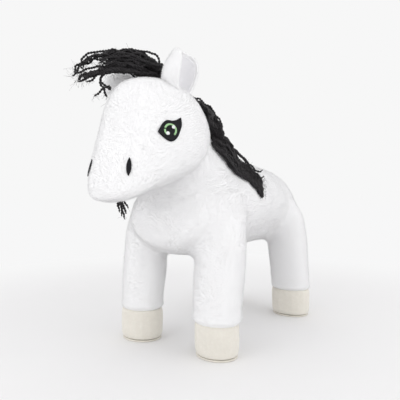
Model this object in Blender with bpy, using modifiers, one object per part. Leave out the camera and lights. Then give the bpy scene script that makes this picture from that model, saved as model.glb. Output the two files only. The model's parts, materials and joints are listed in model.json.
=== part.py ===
"""Plush horse: a standing stuffed horse of white plush with suede hooves and a yarn mane.

Metres, +Z up, the horse faces -Y and its own left side is +X. The origin is on the floor,
under the middle of the whole toy. Run it with: blender --background --python part.py
"""

from math import cos, pi, radians, sin

import bmesh
import bpy
from mathutils import Matrix, Vector
from mathutils.bvhtree import BVHTree

# Cloth, seams and cuts
plush_thickness = 0.0025
lining_thickness = 0.0012
suede_thickness = 0.0012
seat_gap = 0.0003
stuffing_clearance = 0.0008
cut_overrun = 0.006
cage_points = 8

# Stance, from the front feet, whose line lies ahead of the origin
front_feet_y = -0.0734
stance_length = 0.194
front_stance_half = 0.052
rear_stance_half = 0.055
toe_out_angle = radians(8)

# Torso: a stuffed barrel, from the chest to the rump
chest_reach = 0.038
torso_length = 0.282
torso_half_width = 0.070
torso_half_height = 0.053
belly_height = 0.103
torso_station_shares = (0.0, 0.04, 0.14, 0.35, 0.59, 0.79, 0.925, 1.0)
torso_rise_shares = (-0.32, -0.30, -0.21, -0.04, 0.01, -0.05, -0.13, -0.15)
torso_width_shares = (0.31, 0.70, 0.96, 1.0, 0.965, 0.91, 0.70, 0.343)
torso_height_shares = (0.30, 0.59, 0.79, 0.96, 1.0, 0.92, 0.72, 0.34)

# Neck: a stuffed cone that leans forward, turned true about its axis where the head turns on it
neck_seat_reach = 0.012
neck_seat_height = 0.216
neck_lean_angle = radians(43)
neck_radius = 0.044
neck_length = 0.125
neck_top_share = 0.28
neck_station_shares = (0.0, 0.08, 0.24, 0.44, 0.66, 1.0)
neck_width_shares = (0.46, 0.80, 0.975, 1.02, 1.17, 1.25)
neck_depth_shares = (0.46, 0.80, 0.975, 1.02, 1.27, 1.35)
head_turn_angle = radians(15)
lathe_steps = 32

# Head: a broad skull that narrows to a blunt muzzle below and ahead of it
chin_drop = 0.052
head_height = 0.125
head_half_width = 0.0585
head_half_length = 0.064
head_station_shares = (0.0, 0.065, 0.155, 0.26, 0.47, 0.70, 0.882, 1.0)
head_ahead_shares = (1.43, 1.38, 1.05, 0.62, 0.39, 0.38, 0.47, 0.54)
head_width_shares = (0.26, 0.50, 0.67, 0.90, 0.97, 0.90, 0.70, 0.41)
head_length_shares = (0.15, 0.29, 0.58, 0.97, 1.01, 0.905, 0.73, 0.42)

# Legs: stuffed columns that swell into shoulder and thigh, closed by a hoof and its sole
leg_height = 0.172
leg_radius = 0.0258
leg_flatness_share = 0.86
front_leg_lean = 0.024
rear_leg_lean = 0.019
leg_station_shares = (0.08, 0.26, 0.52, 0.73, 0.87, 1.0)
front_leg_out_shares = (1.0, 1.0, 1.01, 1.0, 0.923, 0.77)
front_leg_lean_shares = (0.0, 0.04, 0.25, 0.417, 0.667, 1.0)
front_leg_radius_shares = (0.96, 0.975, 1.02, 1.07, 1.125, 1.05)
rear_leg_out_shares = (1.0, 1.0, 0.98, 0.945, 0.855, 0.69)
rear_leg_lean_shares = (0.0, 0.06, 0.41, 0.73, 0.89, 1.0)
rear_leg_radius_shares = (1.02, 1.04, 1.06, 1.11, 1.105, 0.93)
leg_filling_points = 12
leg_crown_drop = 0.005
leg_crown_share = 0.62
leg_passage_radius = 0.014
leg_passage_length = 0.042
neck_passage_radius = 0.028
crown_passage_radius = 0.012

hoof_height = 0.034
hoof_points = 18
hoof_station_shares = (0.0, 0.14, 0.5, 0.86, 1.0)
hoof_radius_shares = (0.93, 0.99, 1.01, 1.005, 0.965)
sole_thickness = 0.002
sole_radius_share = 0.95
sole_round = 0.0006

# Ears: cupped leaves that open outwards, folded about a line along their base
ear_reach = 0.036
ear_spread = 0.031
ear_base_height = 0.272
ear_height = 0.0445
ear_radius = 0.0185
ear_wrap_angle = radians(104)
ear_lean = 0.013
ear_thickness = 0.0024
ear_across = 10
ear_station_shares = (0.0, 0.16, 0.36, 0.58, 0.78, 0.92, 1.0)
ear_radius_shares = (0.70, 0.86, 0.98, 1.0, 0.96, 0.86, 0.74)
ear_wrap_shares = (1.0, 1.0, 1.0, 0.97, 0.86, 0.62, 0.32)
ear_hinge_height = 0.280
ear_out_angle = radians(30)
ear_in_angle = radians(6)
ear_droop_angle = radians(55)
ear_raise_angle = radians(20)
ear_press_angle = radians(8)
ear_lining_share = 0.87
ear_lining_gap = 0.0015

# Embroidery: eyes in three layers of stitching, and one layer at each nostril
stitch_thickness = 0.0004
stitch_depth = 0.030
eye_reach = 0.072
eye_spread = 0.047
eye_height = 0.2312
eye_turn_angle = radians(32)
eye_width = 0.0245
eye_tall = 0.0232
eye_outline_shares = (
    (-0.50, -0.08), (-0.35, 0.18), (-0.22, 0.33), (-0.09, 0.405), (0.12, 0.39),
    (0.31, 0.44), (0.49, 0.55), (0.50, 0.26), (0.41, -0.02), (0.26, -0.31),
    (0.02, -0.455), (-0.13, -0.41), (-0.35, -0.25),
)
iris_radius = 0.0062
iris_stroke = 0.0014
iris_open_angle = radians(77)
iris_steps = 20
glint_radius = 0.0016
glint_place_shares = ((-0.13, -0.14), (0.12, 0.125))
glint_steps = 10
nostril_reach = 0.101
nostril_spread = 0.023
nostril_height = 0.1965
nostril_turn_angle = radians(62)
nostril_width = 0.0044
nostril_tall = 0.0165
nostril_slant_angle = radians(1)
nostril_outline_shares = (
    (0.0, -0.5), (0.36, -0.28), (0.5, 0.02), (0.36, 0.3), (0.0, 0.5), (-0.34, 0.28),
    (-0.48, -0.02), (-0.34, -0.3),
)

# Mane: yarn laid over the crest, falling on each side of the neck, and one lock behind the poll
mane_thickness = 0.014
mane_depth_shares = (1.3, 1.25, 1.05, 0.85, 0.85, 0.8, 0.75)
mane_half_gap = 0.0006
mane_clearance = 0.0016
mane_shoulder_clearance = 0.0028
mane_head_clearance = 0.0015
mane_front_reach = 0.010
mane_span = 0.122
mane_low_height = 0.160
mane_rise = 0.050
mane_crest_angle = radians(47)
mane_fall_angle = radians(100)
mane_columns = 14
mane_rows = 8
mane_station_shares = (0.0, 0.12, 0.28, 0.46, 0.66, 0.84, 1.0)
mane_rise_shares = (1.0, 0.64, 0.34, 0.14, 0.06, 0.0, 0.0)
mane_crest_shares = (1.0, 1.0, 0.85, 0.60, 0.36, 0.18, 0.04)
mane_left_fall_shares = (0.72, 0.70, 0.68, 0.70, 0.86, 0.84, 0.40)
mane_right_fall_shares = (1.16, 1.20, 1.04, 0.80, 0.66, 0.50, 0.32)
mane_swell_station_shares = (0.0, 0.25, 0.5, 0.75, 1.0)
mane_swell_shares = (0.70, 1.0, 1.0, 0.75, 0.30)
mane_end_share = 0.35
poll_reach = 0.042
poll_height = 0.250
poll_front_angle = radians(44)
poll_back_angle = radians(91)
poll_half_angle = radians(52)
poll_thickness = 0.014
poll_clearance = 0.0015
poll_swell_shares = (0.35, 0.9, 1.0, 0.9, 0.35)
poll_fall_shares = (0.20, 0.32, 0.48, 0.68, 0.90, 1.0, 0.92)
poll_depth_shares = (0.5, 0.6, 0.8, 1.0, 1.1, 1.25, 1.9)
poll_columns = 6
poll_rows = 8
yarn_far = 0.200

# Forelock: one bundle of yarn from the poll, over the right eye
forelock_path_shares = (
    (0.02, 0.45, 0.0), (-0.04, 0.64, 0.60), (-0.26, 0.84, 0.72), (-0.54, 0.99, 0.62),
    (-0.77, 1.09, 0.30), (-0.87, 1.16, -0.18),
)
forelock_radius_shares = (0.80, 1.12, 1.14, 1.04, 0.80, 0.36)
forelock_reach = 0.082
forelock_spread = 0.078
forelock_rise = 0.026
forelock_root_height = 0.2890
forelock_radius = 0.0115
forelock_flatness_share = 0.85
forelock_lift_angle = radians(25)

# Tail: a stitched dock on the rump and a hanging bundle of yarn
dock_stand = 0.0047
dock_rise_share = 0.5283
dock_radius = 0.0075
dock_length = 0.016
tail_length = 0.096
tail_stand_off = 0.013
tail_radius = 0.0105
tail_station_shares = (0.02, 0.12, 0.32, 0.56, 0.80, 1.0)
tail_back_shares = (0.35, 0.95, 1.35, 1.45, 1.3, 1.0)
tail_radius_shares = (0.55, 0.85, 1.0, 1.0, 0.8, 0.3)
tail_swing_angle = radians(25)

torso_centre_z = belly_height + torso_half_height
dock_height = torso_centre_z + torso_half_height * dock_rise_share
hoof_line = sole_thickness + seat_gap + hoof_height
neck_axis = Vector((0, -sin(neck_lean_angle), cos(neck_lean_angle)))
neck_seat = Vector((0, front_feet_y - neck_seat_reach, neck_seat_height))

for stray in list(bpy.data.objects):
    bpy.data.objects.remove(stray)

pieces = bpy.data.collections.new("plush_horse")
cutters = bpy.data.collections.new("cutters")
bpy.context.scene.collection.children.link(pieces)
bpy.context.scene.collection.children.link(cutters)


def finish(name, colour, roughness):
    material = bpy.data.materials.new(name)
    material.use_nodes = True
    shader = material.node_tree.nodes["Principled BSDF"]
    shader.inputs["Base Color"].default_value = (*colour, 1)
    shader.inputs["Roughness"].default_value = roughness
    shader.inputs["Metallic"].default_value = 0
    return material


def oval_ring(centre, across, along):
    """A cage ring, let out so that the subdivided surface passes through the oval."""
    let_out = 6 / (4 + 2 * cos(2 * pi / cage_points))
    angles = [2 * pi * i / cage_points for i in range(cage_points)]
    return [centre + (across * cos(a) + along * sin(a)) * let_out for a in angles]


def plain_ring(centre, across, along, count):
    angles = [2 * pi * i / count for i in range(count)]
    return [centre + across * cos(a) + along * sin(a) for a in angles]


def loft_mesh(name, rings):
    """A closed mesh through rings of as many points each."""
    shape = bmesh.new()
    loops = [[shape.verts.new(point) for point in ring] for ring in rings]
    for lower, upper in zip(loops, loops[1:]):
        for i in range(len(lower)):
            j = (i + 1) % len(lower)
            shape.faces.new((lower[i], lower[j], upper[j], upper[i]))
    shape.faces.new(loops[0])
    shape.faces.new(loops[-1])
    bmesh.ops.recalc_face_normals(shape, faces=shape.faces)
    mesh = bpy.data.meshes.new(name)
    shape.to_mesh(mesh)
    shape.free()
    mesh.shade_smooth()
    return mesh


def place(name, mesh, material=None):
    """A named piece, or a cutter where it has no material."""
    made = bpy.data.objects.new(name, mesh)
    if material:
        pieces.objects.link(made)
        made.data = mesh if not mesh.materials else mesh.copy()
        made.data.materials.clear()
        made.data.materials.append(material)
    else:
        cutters.objects.link(made)
        made.hide_render = True
        made.display_type = "WIRE"
    return made


def soft(name, mesh, level, grow, material=None):
    """A cage subdivided and let out, or taken in, by grow."""
    made = place(name, mesh, material)
    smooth = made.modifiers.new("Smooth", "SUBSURF")
    smooth.levels = level
    smooth.render_levels = level
    if grow:
        push = made.modifiers.new("Grow", "DISPLACE")
        push.strength = grow
        push.mid_level = 0
    return made


def combine(piece, other, operation="DIFFERENCE"):
    cut = piece.modifiers.new(operation.title(), "BOOLEAN")
    cut.operation = operation
    cut.solver = "EXACT"
    cut.object = other
    return piece


def box_cutter(name, low, high):
    shape = bmesh.new()
    bmesh.ops.create_cube(shape, size=1)
    mesh = bpy.data.meshes.new(name)
    shape.to_mesh(mesh)
    shape.free()
    made = place(name, mesh)
    made.location = (low + high) / 2
    made.scale = high - low
    return made


def rod_cutter(name, centre, direction, radius, length):
    shape = bmesh.new()
    bmesh.ops.create_cone(
        shape, cap_ends=True, segments=hoof_points, radius1=radius, radius2=radius, depth=length
    )
    mesh = bpy.data.meshes.new(name)
    shape.to_mesh(mesh)
    shape.free()
    made = place(name, mesh)
    made.matrix_world = Matrix.Translation(centre) @ direction.to_track_quat("Z", "Y").to_matrix().to_4x4()
    return made


def outline_prism(name, points, depth, smooth_corners, material=None):
    """A flat outline in its own XY plane, thickened along Z and turned into a mesh."""
    outline = bpy.data.curves.new(name + "_outline", "CURVE")
    outline.dimensions = "2D"
    outline.fill_mode = "BOTH"
    outline.extrude = depth / 2
    outline.resolution_u = 3
    spline = outline.splines.new("BEZIER")
    spline.bezier_points.add(len(points) - 1)
    for i, (x, y) in enumerate(points):
        corner = spline.bezier_points[i]
        corner.co = (x, y, 0)
        handle = "AUTO" if smooth_corners and i not in smooth_corners else "VECTOR"
        corner.handle_left_type = handle
        corner.handle_right_type = handle
    spline.use_cyclic_u = True
    drawn = bpy.data.objects.new(name + "_outline", outline)
    cutters.objects.link(drawn)
    drawn.hide_render = True
    evaluated = drawn.evaluated_get(bpy.context.evaluated_depsgraph_get())
    mesh = bpy.data.meshes.new_from_object(evaluated)
    shape = bmesh.new()
    shape.from_mesh(mesh)
    bmesh.ops.remove_doubles(shape, verts=shape.verts, dist=seat_gap / 10)
    bmesh.ops.recalc_face_normals(shape, faces=shape.faces)
    shape.to_mesh(mesh)
    shape.free()
    bpy.data.objects.remove(drawn)
    mesh.materials.clear()
    return place(name, mesh, material)


def pivot(name, point, parent=None):
    """An empty on a joint's axis, which carries the pieces that move with it."""
    empty = bpy.data.objects.new(name, None)
    pieces.objects.link(empty)
    empty.location = point
    if parent:
        empty.parent = parent
        empty.matrix_parent_inverse = Matrix.Translation(-parent.matrix_world.translation)
    bpy.context.view_layer.update()
    return empty


def carry(empty, *carried):
    for piece in carried:
        piece.parent = empty
        piece.matrix_parent_inverse = empty.matrix_world.inverted()


def swung(cutter, name, centre, axis, angle):
    """The cutter as the turning piece meets it when turned by the angle about its hinge."""
    copy = cutter.copy()
    copy.name = name
    cutters.objects.link(copy)
    turn = Matrix.Translation(centre) @ Matrix.Rotation(-angle, 4, axis) @ Matrix.Translation(-centre)
    copy.matrix_world = turn @ cutter.matrix_world
    return copy


white_plush = finish("white_plush", (0.90, 0.90, 0.91), 0.95)
stuffing_fibre = finish("stuffing_fibre", (0.82, 0.82, 0.80), 1.0)
hoof_suede = finish("hoof_suede", (0.72, 0.68, 0.60), 0.9)
sole_suede = finish("sole_suede", (0.66, 0.62, 0.54), 0.9)
black_thread = finish("black_thread", (0.02, 0.02, 0.025), 0.5)
green_thread = finish("green_thread", (0.30, 0.60, 0.27), 0.5)
white_thread = finish("white_thread", (0.85, 0.86, 0.86), 0.5)
black_yarn = finish("black_yarn", (0.018, 0.016, 0.018), 0.6)


def torso_cage():
    rings = []
    rows = zip(torso_station_shares, torso_rise_shares, torso_width_shares, torso_height_shares)
    for station, rise, width, height in rows:
        y = front_feet_y - chest_reach + torso_length * station
        centre = Vector((0, y, torso_centre_z + torso_half_height * rise))
        across = Vector((torso_half_width * width, 0, 0))
        rings.append(oval_ring(centre, across, Vector((0, 0, torso_half_height * height))))
    return loft_mesh("torso_cage", rings)


def neck_rows():
    """Station along the neck axis from its seat, half width and half depth, from the top down."""
    rows = zip(neck_station_shares, neck_width_shares, neck_depth_shares)
    top = neck_length * neck_top_share
    return [(top - neck_length * s, neck_radius * w, neck_radius * d) for s, w, d in rows]


def neck_cage():
    depthways = Vector((0, cos(neck_lean_angle), sin(neck_lean_angle)))
    rings = [
        oval_ring(neck_seat + neck_axis * station, Vector((width, 0, 0)), depthways * depth)
        for station, width, depth in neck_rows()
    ]
    return loft_mesh("neck_cage", rings)


def head_cage():
    rings = []
    rows = zip(head_station_shares, head_ahead_shares, head_width_shares, head_length_shares)
    for station, ahead, width, length in rows:
        y = neck_seat.y - head_half_length * ahead
        centre = Vector((0, y, neck_seat.z - chin_drop + head_height * station))
        across = Vector((head_half_width * width, 0, 0))
        rings.append(oval_ring(centre, across, Vector((0, head_half_length * length, 0))))
    return loft_mesh("head_cage", rings)


def leg_rows(front):
    """Height, distance from the middle plane, y and radius of each ring of a left leg."""
    out_shares = front_leg_out_shares if front else rear_leg_out_shares
    lean_shares = front_leg_lean_shares if front else rear_leg_lean_shares
    radius_shares = front_leg_radius_shares if front else rear_leg_radius_shares
    stance = front_stance_half if front else rear_stance_half
    foot_y = front_feet_y if front else front_feet_y + stance_length
    lean = front_leg_lean if front else -rear_leg_lean
    rows = zip(leg_station_shares, out_shares, lean_shares, radius_shares)
    return [
        (leg_height * s, stance * out, foot_y + lean * back, leg_radius * r)
        for s, out, back, r in rows
    ]


def leg_axes(side):
    """The long and the short direction of a leg's oval section, toed out."""
    long_way = Vector((side * cos(toe_out_angle), -sin(toe_out_angle), 0))
    short_way = Vector((side * sin(toe_out_angle), cos(toe_out_angle), 0))
    return long_way, short_way * leg_flatness_share


def leg_cage(name, front, side):
    long_way, short_way = leg_axes(side)
    rings = [
        oval_ring(Vector((side * out, y, z)), long_way * radius, short_way * radius)
        for z, out, y, radius in leg_rows(front)
    ]
    return loft_mesh(name, rings)


def leg_filling(name, front, side, inset):
    """The plain shape inside a leg's cover, taken in from the leg's own rings."""
    long_way, short_way = leg_axes(side)
    rings = []
    for z, out, y, radius in leg_rows(front):
        size = radius - inset
        centre = Vector((side * out, y, z))
        rings.append(plain_ring(centre, long_way * size, short_way * size, leg_filling_points))
    crown = sum(rings[-1], Vector()) / leg_filling_points
    crown.z -= leg_crown_drop
    rings[-1] = [crown + (point - crown) * leg_crown_share for point in rings[-1]]
    return loft_mesh(name, rings)


def spline_rows(rows, steps):
    """Points between the rows as the subdivided cage passes through them."""
    points = []
    for a, b, c, d in zip(rows, rows[1:], rows[2:], rows[3:]):
        for k in range(steps):
            t = k / steps
            weights = (
                (1 - t) ** 3 / 6,
                (3 * t ** 3 - 6 * t ** 2 + 4) / 6,
                (-3 * t ** 3 + 3 * t ** 2 + 3 * t + 1) / 6,
                t ** 3 / 6,
            )
            points.append([sum(w * v for w, v in zip(weights, values)) for values in zip(a, b, c, d)])
    return points


def neck_clearance():
    """The space that the neck fills when it is seen from the turning head: a turned shape."""
    facet = 1 / cos(pi / lathe_steps)
    rows = neck_rows()
    rows = [rows[0]] + rows
    profile = [(0, rows[0][0] + seat_gap)]
    profile.append((rows[0][1] * facet + seat_gap, rows[0][0] + seat_gap))
    for station, width, depth in spline_rows(rows, 4)[2:]:
        profile.append((max(width, depth) * facet + seat_gap, station + seat_gap))
    profile.append((profile[-1][0], rows[-1][0]))
    profile.append((0, rows[-1][0]))
    mesh = bpy.data.meshes.new("neck_clearance")
    points = [(radius, 0, station) for radius, station in profile]
    mesh.from_pydata(points, [(i, i + 1) for i in range(len(points) - 1)], [])
    made = place("neck_clearance", mesh)
    turned = made.modifiers.new("Turn", "SCREW")
    turned.angle = 2 * pi
    turned.steps = lathe_steps
    turned.render_steps = lathe_steps
    turned.use_merge_vertices = True
    turned.merge_threshold = seat_gap / 10
    made.rotation_euler = (neck_lean_angle, 0, 0)
    made.location = neck_seat
    return made


torso_mesh = torso_cage()
neck_mesh = neck_cage()
head_mesh = head_cage()
leg_meshes = {
    (front, side): leg_cage(f"leg_cage_{front}_{side}", front, side)
    for front in (True, False)
    for side in (1, -1)
}
torso_clear = soft("torso_clear", torso_mesh, 2, seat_gap)
neck_clear = soft("neck_clear", neck_mesh, 2, seat_gap)
head_clear = soft("head_clear", head_mesh, 2, seat_gap)
head_socket = neck_clearance()
torso_hollow = soft("torso_hollow", torso_mesh, 1, -plush_thickness)
neck_hollow = soft("neck_hollow", neck_mesh, 1, -plush_thickness)
head_hollow = soft("head_hollow", head_mesh, 1, -plush_thickness)
fill_inset = plush_thickness + stuffing_clearance


def build_torso():
    """The body bag, open where its filling runs on into the neck and the legs."""
    cover = soft("torso_cover", torso_mesh, 2, 0, white_plush)
    combine(cover, torso_hollow)
    way = rod_cutter(
        "neck_passage", neck_seat - neck_axis * neck_length / 2, neck_axis, neck_passage_radius, neck_length
    )
    combine(cover, way)
    for front in (True, False):
        for side in (1, -1):
            z, out, y, radius = leg_rows(front)[3]
            name = "passage_" + ("front" if front else "rear") + ("_left" if side > 0 else "_right")
            centre = Vector((side * out, y, z))
            way = rod_cutter(name, centre, Vector((0, 0, 1)), leg_passage_radius, leg_passage_length)
            combine(cover, way)
    soft("torso_stuffing", torso_mesh, 1, -fill_inset, stuffing_fibre)


def build_neck():
    cover = soft("neck_cover", neck_mesh, 2, 0, white_plush)
    combine(cover, neck_hollow)
    combine(cover, torso_clear)
    crown = neck_seat + neck_axis * neck_length * neck_top_share
    combine(cover, rod_cutter("crown_passage", crown, neck_axis, crown_passage_radius, neck_radius))
    filling = soft("neck_stuffing", neck_mesh, 1, -fill_inset, stuffing_fibre)
    combine(filling, torso_clear)


def build_head(head_pivot):
    cover = soft("head_cover", head_mesh, 2, 0, white_plush)
    combine(cover, head_hollow)
    combine(cover, head_socket)
    filling = soft("head_stuffing", head_mesh, 1, -fill_inset, stuffing_fibre)
    combine(filling, head_socket)
    carry(head_pivot, cover, filling)


def hoof_mesh(name, front, side, inset, overrun):
    """The hoof's band, or its hollow where inset is the band's thickness."""
    long_way, short_way = leg_axes(side)
    z, out, y, radius = leg_rows(front)[1]
    low = sole_thickness + seat_gap
    rings = []
    last = len(hoof_station_shares) - 1
    for i, (station, share) in enumerate(zip(hoof_station_shares, hoof_radius_shares)):
        height = low + hoof_height * station
        if i == 0:
            height -= overrun
        if i == last:
            height += overrun
        size = radius * share - inset
        rings.append(
            plain_ring(Vector((side * out, y, height)), long_way * size, short_way * size, hoof_points)
        )
    return loft_mesh(name, rings)


def build_sole(name, front, side):
    long_way, short_way = leg_axes(side)
    z, out, y, radius = leg_rows(front)[1]
    size = radius * sole_radius_share
    rings = [
        plain_ring(Vector((side * out, y, height)), long_way * reach, short_way * reach, hoof_points)
        for height, reach in (
            (0, size - sole_round),
            (sole_round, size),
            (sole_thickness - sole_round, size),
            (sole_thickness, size - sole_round),
        )
    ]
    sole = place(name, loft_mesh(name, rings), sole_suede)
    sole.data.set_sharp_from_angle(angle=radians(50))


def build_leg(front, side):
    """One leg: plush column, suede hoof band, sole, and the filling that runs down to the sole."""
    where = ("front" if front else "rear") + ("_left" if side > 0 else "_right")
    mesh = leg_meshes[front, side]
    reach = torso_half_width + leg_radius
    foot = Vector((0, leg_rows(front)[1][2], 0))
    corner = Vector((reach, reach, 0))
    below = box_cutter(
        "below_hoof_line_" + where,
        foot - corner - Vector((0, 0, cut_overrun)),
        foot + corner + Vector((0, 0, hoof_line + seat_gap)),
    )
    floor = box_cutter(
        "below_sole_" + where,
        foot - corner - Vector((0, 0, leg_height)),
        foot + corner + Vector((0, 0, sole_thickness + seat_gap)),
    )
    cover = soft("leg_cover_" + where, mesh, 1, 0, white_plush)
    hollow = leg_filling("leg_hollow_mesh_" + where, front, side, plush_thickness)
    combine(cover, place("leg_hollow_" + where, hollow))
    combine(cover, torso_clear)
    combine(cover, below)
    filling_mesh = leg_filling("leg_filling_mesh_" + where, front, side, fill_inset)
    filling = place("leg_stuffing_" + where, filling_mesh, stuffing_fibre)
    combine(filling, torso_clear)
    combine(filling, floor)
    band = place("hoof_cover_" + where, hoof_mesh("hoof_" + where, front, side, 0, 0), hoof_suede)
    hollow_mesh = hoof_mesh("hollow_" + where, front, side, suede_thickness, cut_overrun)
    combine(band, place("hoof_hollow_" + where, hollow_mesh))
    build_sole("hoof_sole_" + where, front, side)


def share_at(station, stations, shares):
    """A table's value between its stations."""
    for low, high, a, b in zip(stations, stations[1:], shares, shares[1:]):
        if station <= high:
            return a + (b - a) * (station - low) / (high - low)
    return shares[-1]


def ear_mesh(name, side, inset, share):
    """An ear's cupped leaf as an open surface, its cup opening outwards. The right ear droops."""
    shape = bmesh.new()
    loops = []
    for station in ear_station_shares:
        up = station * share
        radius = ear_radius * share_at(up, ear_station_shares, ear_radius_shares) - inset
        wrap = ear_wrap_angle * share_at(up, ear_station_shares, ear_wrap_shares) * share
        middle = ear_spread + ear_lean * up ** 2
        loop = []
        for k in range(ear_across + 1):
            angle = wrap * (2 * k / ear_across - 1)
            x = middle - radius * cos(angle)
            y = front_feet_y - ear_reach - radius * sin(angle)
            loop.append(shape.verts.new((x, y, ear_base_height + ear_height * up)))
        loops.append(loop)
    for lower, upper in zip(loops, loops[1:]):
        for i in range(ear_across):
            shape.faces.new((lower[i], upper[i], upper[i + 1], lower[i + 1]))
    mesh = bpy.data.meshes.new(name)
    shape.to_mesh(mesh)
    shape.free()
    if side < 0:
        mesh.transform(Matrix.Scale(-1, 4, (1, 0, 0)))
        mesh.flip_normals()
        hinge = Matrix.Translation((-ear_spread, front_feet_y - ear_reach, ear_hinge_height))
        droop = Matrix.Rotation(-ear_droop_angle, 4, "Y")
        mesh.transform(hinge @ droop @ hinge.inverted())
    mesh.shade_smooth()
    return mesh


def thicken(sheet, thickness):
    wall = sheet.modifiers.new("Wall", "SOLIDIFY")
    wall.thickness = thickness
    wall.offset = 1
    return sheet


def build_ear(side, ear_pivot):
    """An ear of a plush back and a thin lining, whose base is cut back so that it can fold."""
    where = "_left" if side > 0 else "_right"
    turns = {"out": ear_out_angle, "rest": 0, "in": -ear_in_angle}
    if side < 0:
        turns = {"pressed": ear_press_angle, "rest": 0, "half": -ear_raise_angle / 2,
                 "raised": -ear_raise_angle}
    hinge = ear_pivot.matrix_world.translation
    back_clear = place("ear_back_clear" + where, ear_mesh("ear_clear" + where, side, -seat_gap, 1))
    thicken(back_clear, ear_thickness + 2 * seat_gap)
    for label, inset, share, thickness, material in (
        ("ear_back", 0, 1, ear_thickness, white_plush),
        ("ear_lining", ear_thickness + ear_lining_gap, ear_lining_share, lining_thickness, white_plush),
    ):
        mesh = ear_mesh(label + where, side, inset, share)
        piece = thicken(place(label + where, mesh, material), thickness)
        if label == "ear_lining":
            combine(piece, back_clear)
        for name, angle in turns.items():
            cutter_name = "head_under_" + label + where + "_" + name
            combine(piece, swung(head_clear, cutter_name, hinge, "Y", side * angle))
        carry(ear_pivot, piece)


def stitched_patch(name, prism_points, corners, frame, layer, material):
    """One layer of stitching that follows the head, cut from the head's own shape."""
    patch = outline_prism(name, prism_points, stitch_depth, corners, material)
    patch.matrix_world = frame
    under, over = head_layers[layer]
    combine(patch, over, "INTERSECT")
    combine(patch, under)
    return patch


def layer_cutters(layer):
    rise = seat_gap + layer * (stitch_thickness + seat_gap)
    under = soft(f"head_under_stitch_{layer}", head_mesh, 2, rise)
    over = soft(f"head_over_stitch_{layer}", head_mesh, 2, rise + stitch_thickness)
    return under, over


def face_frame(side, spread, reach, height, turn):
    """A frame on the face whose Z looks out of the head, Y up, and X towards the tail side."""
    outward = Vector((side * cos(turn), -sin(turn), 0))
    up = Vector((0, 0, 1))
    across = up.cross(outward)
    rotation = Matrix((across, up, outward)).transposed().to_4x4()
    return Matrix.Translation((side * spread, front_feet_y - reach, height)) @ rotation


def build_eye(side, head_pivot):
    where = "_left" if side > 0 else "_right"
    frame = face_frame(side, eye_spread, eye_reach, eye_height, eye_turn_angle)
    outline = [(side * x * eye_width, y * eye_tall) for x, y in eye_outline_shares]
    patch = stitched_patch("eye_patch" + where, outline, (0, 5, 6), frame, 0, black_thread)
    carry(head_pivot, patch)
    start = -pi / 2 + iris_open_angle / 2
    sweep = 2 * pi - iris_open_angle
    angles = [start + sweep * k / iris_steps for k in range(iris_steps + 1)]
    inner = iris_radius - iris_stroke
    arc = [(iris_radius * cos(a), iris_radius * sin(a)) for a in angles]
    arc += [(inner * cos(a), inner * sin(a)) for a in reversed(angles)]
    iris = stitched_patch("eye_iris" + where, arc, (), frame, 1, green_thread)
    carry(head_pivot, iris)
    for label, (x, y) in zip(("low", "high"), glint_place_shares):
        angles = [2 * pi * k / glint_steps for k in range(glint_steps)]
        centre_x = side * x * eye_width
        ring = [
            (centre_x + glint_radius * cos(a), y * eye_tall + glint_radius * sin(a)) for a in angles
        ]
        glint = stitched_patch(f"eye_glint_{label}{where}", ring, (), frame, 2, white_thread)
        carry(head_pivot, glint)


def build_nostril(side, head_pivot):
    where = "_left" if side > 0 else "_right"
    frame = face_frame(side, nostril_spread, nostril_reach, nostril_height, nostril_turn_angle)
    slant = Matrix.Rotation(side * nostril_slant_angle, 4, "Z")
    outline = [(x * nostril_width, y * nostril_tall) for x, y in nostril_outline_shares]
    patch = stitched_patch("nostril" + where, outline, (0, 4), frame @ slant, 0, black_thread)
    carry(head_pivot, patch)


def outer_reach(trees, centre, ray):
    """How far from the centre the outermost of the shapes lies along the ray."""
    start = centre + ray * yarn_far
    hits = [tree.ray_cast(start, -ray, yarn_far) for tree in trees]
    return max(yarn_far - hit[3] for hit in hits if hit[0])


def draped(name, fans, rows, trees, thickness, swells, depths, grown, material):
    """A sheet of yarn laid on the shapes below it, thinner at its rim. Each fan is one column.

    Grown is how far it is let out into a cutter that keeps other yarn clear of it.
    """
    shape = bmesh.new()
    layers = []
    last = len(fans) - 1
    for c, (centre, crest, sideways, first, final) in enumerate(fans):
        low, high = [], []
        deep = thickness * share_at(c / last, mane_station_shares, depths)
        for k in range(rows + 1):
            angle = first + (final - first) * k / rows
            ray = crest * cos(angle) + sideways * sin(angle)
            reach = outer_reach(trees, centre, ray)
            depth = deep * share_at(k / rows, mane_swell_station_shares, swells)
            if c in (0, last) and not grown:
                depth *= mane_end_share
            low.append(shape.verts.new(centre + ray * reach))
            high.append(shape.verts.new(centre + ray * (reach + depth + grown)))
        layers.append((low, high))
    for (low, high), (next_low, next_high) in zip(layers, layers[1:]):
        for k in range(rows):
            shape.faces.new((low[k], low[k + 1], next_low[k + 1], next_low[k]))
            shape.faces.new((high[k], next_high[k], next_high[k + 1], high[k + 1]))
        for k in (0, rows):
            shape.faces.new((low[k], next_low[k], next_high[k], high[k]))
    for low, high in (layers[0], layers[-1]):
        for k in range(rows):
            shape.faces.new((low[k], high[k], high[k + 1], low[k + 1]))
    bmesh.ops.recalc_face_normals(shape, faces=shape.faces)
    mesh = bpy.data.meshes.new(name)
    shape.to_mesh(mesh)
    shape.free()
    mesh.shade_smooth()
    return place(name, mesh, material)


def shape_trees(*grown):
    graph = bpy.context.evaluated_depsgraph_get()
    return [BVHTree.FromObject(piece, graph) for piece in grown]


def upward_at(angle):
    """A direction in the middle plane, turned back from upright."""
    return Vector((0, sin(angle), cos(angle)))


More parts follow.
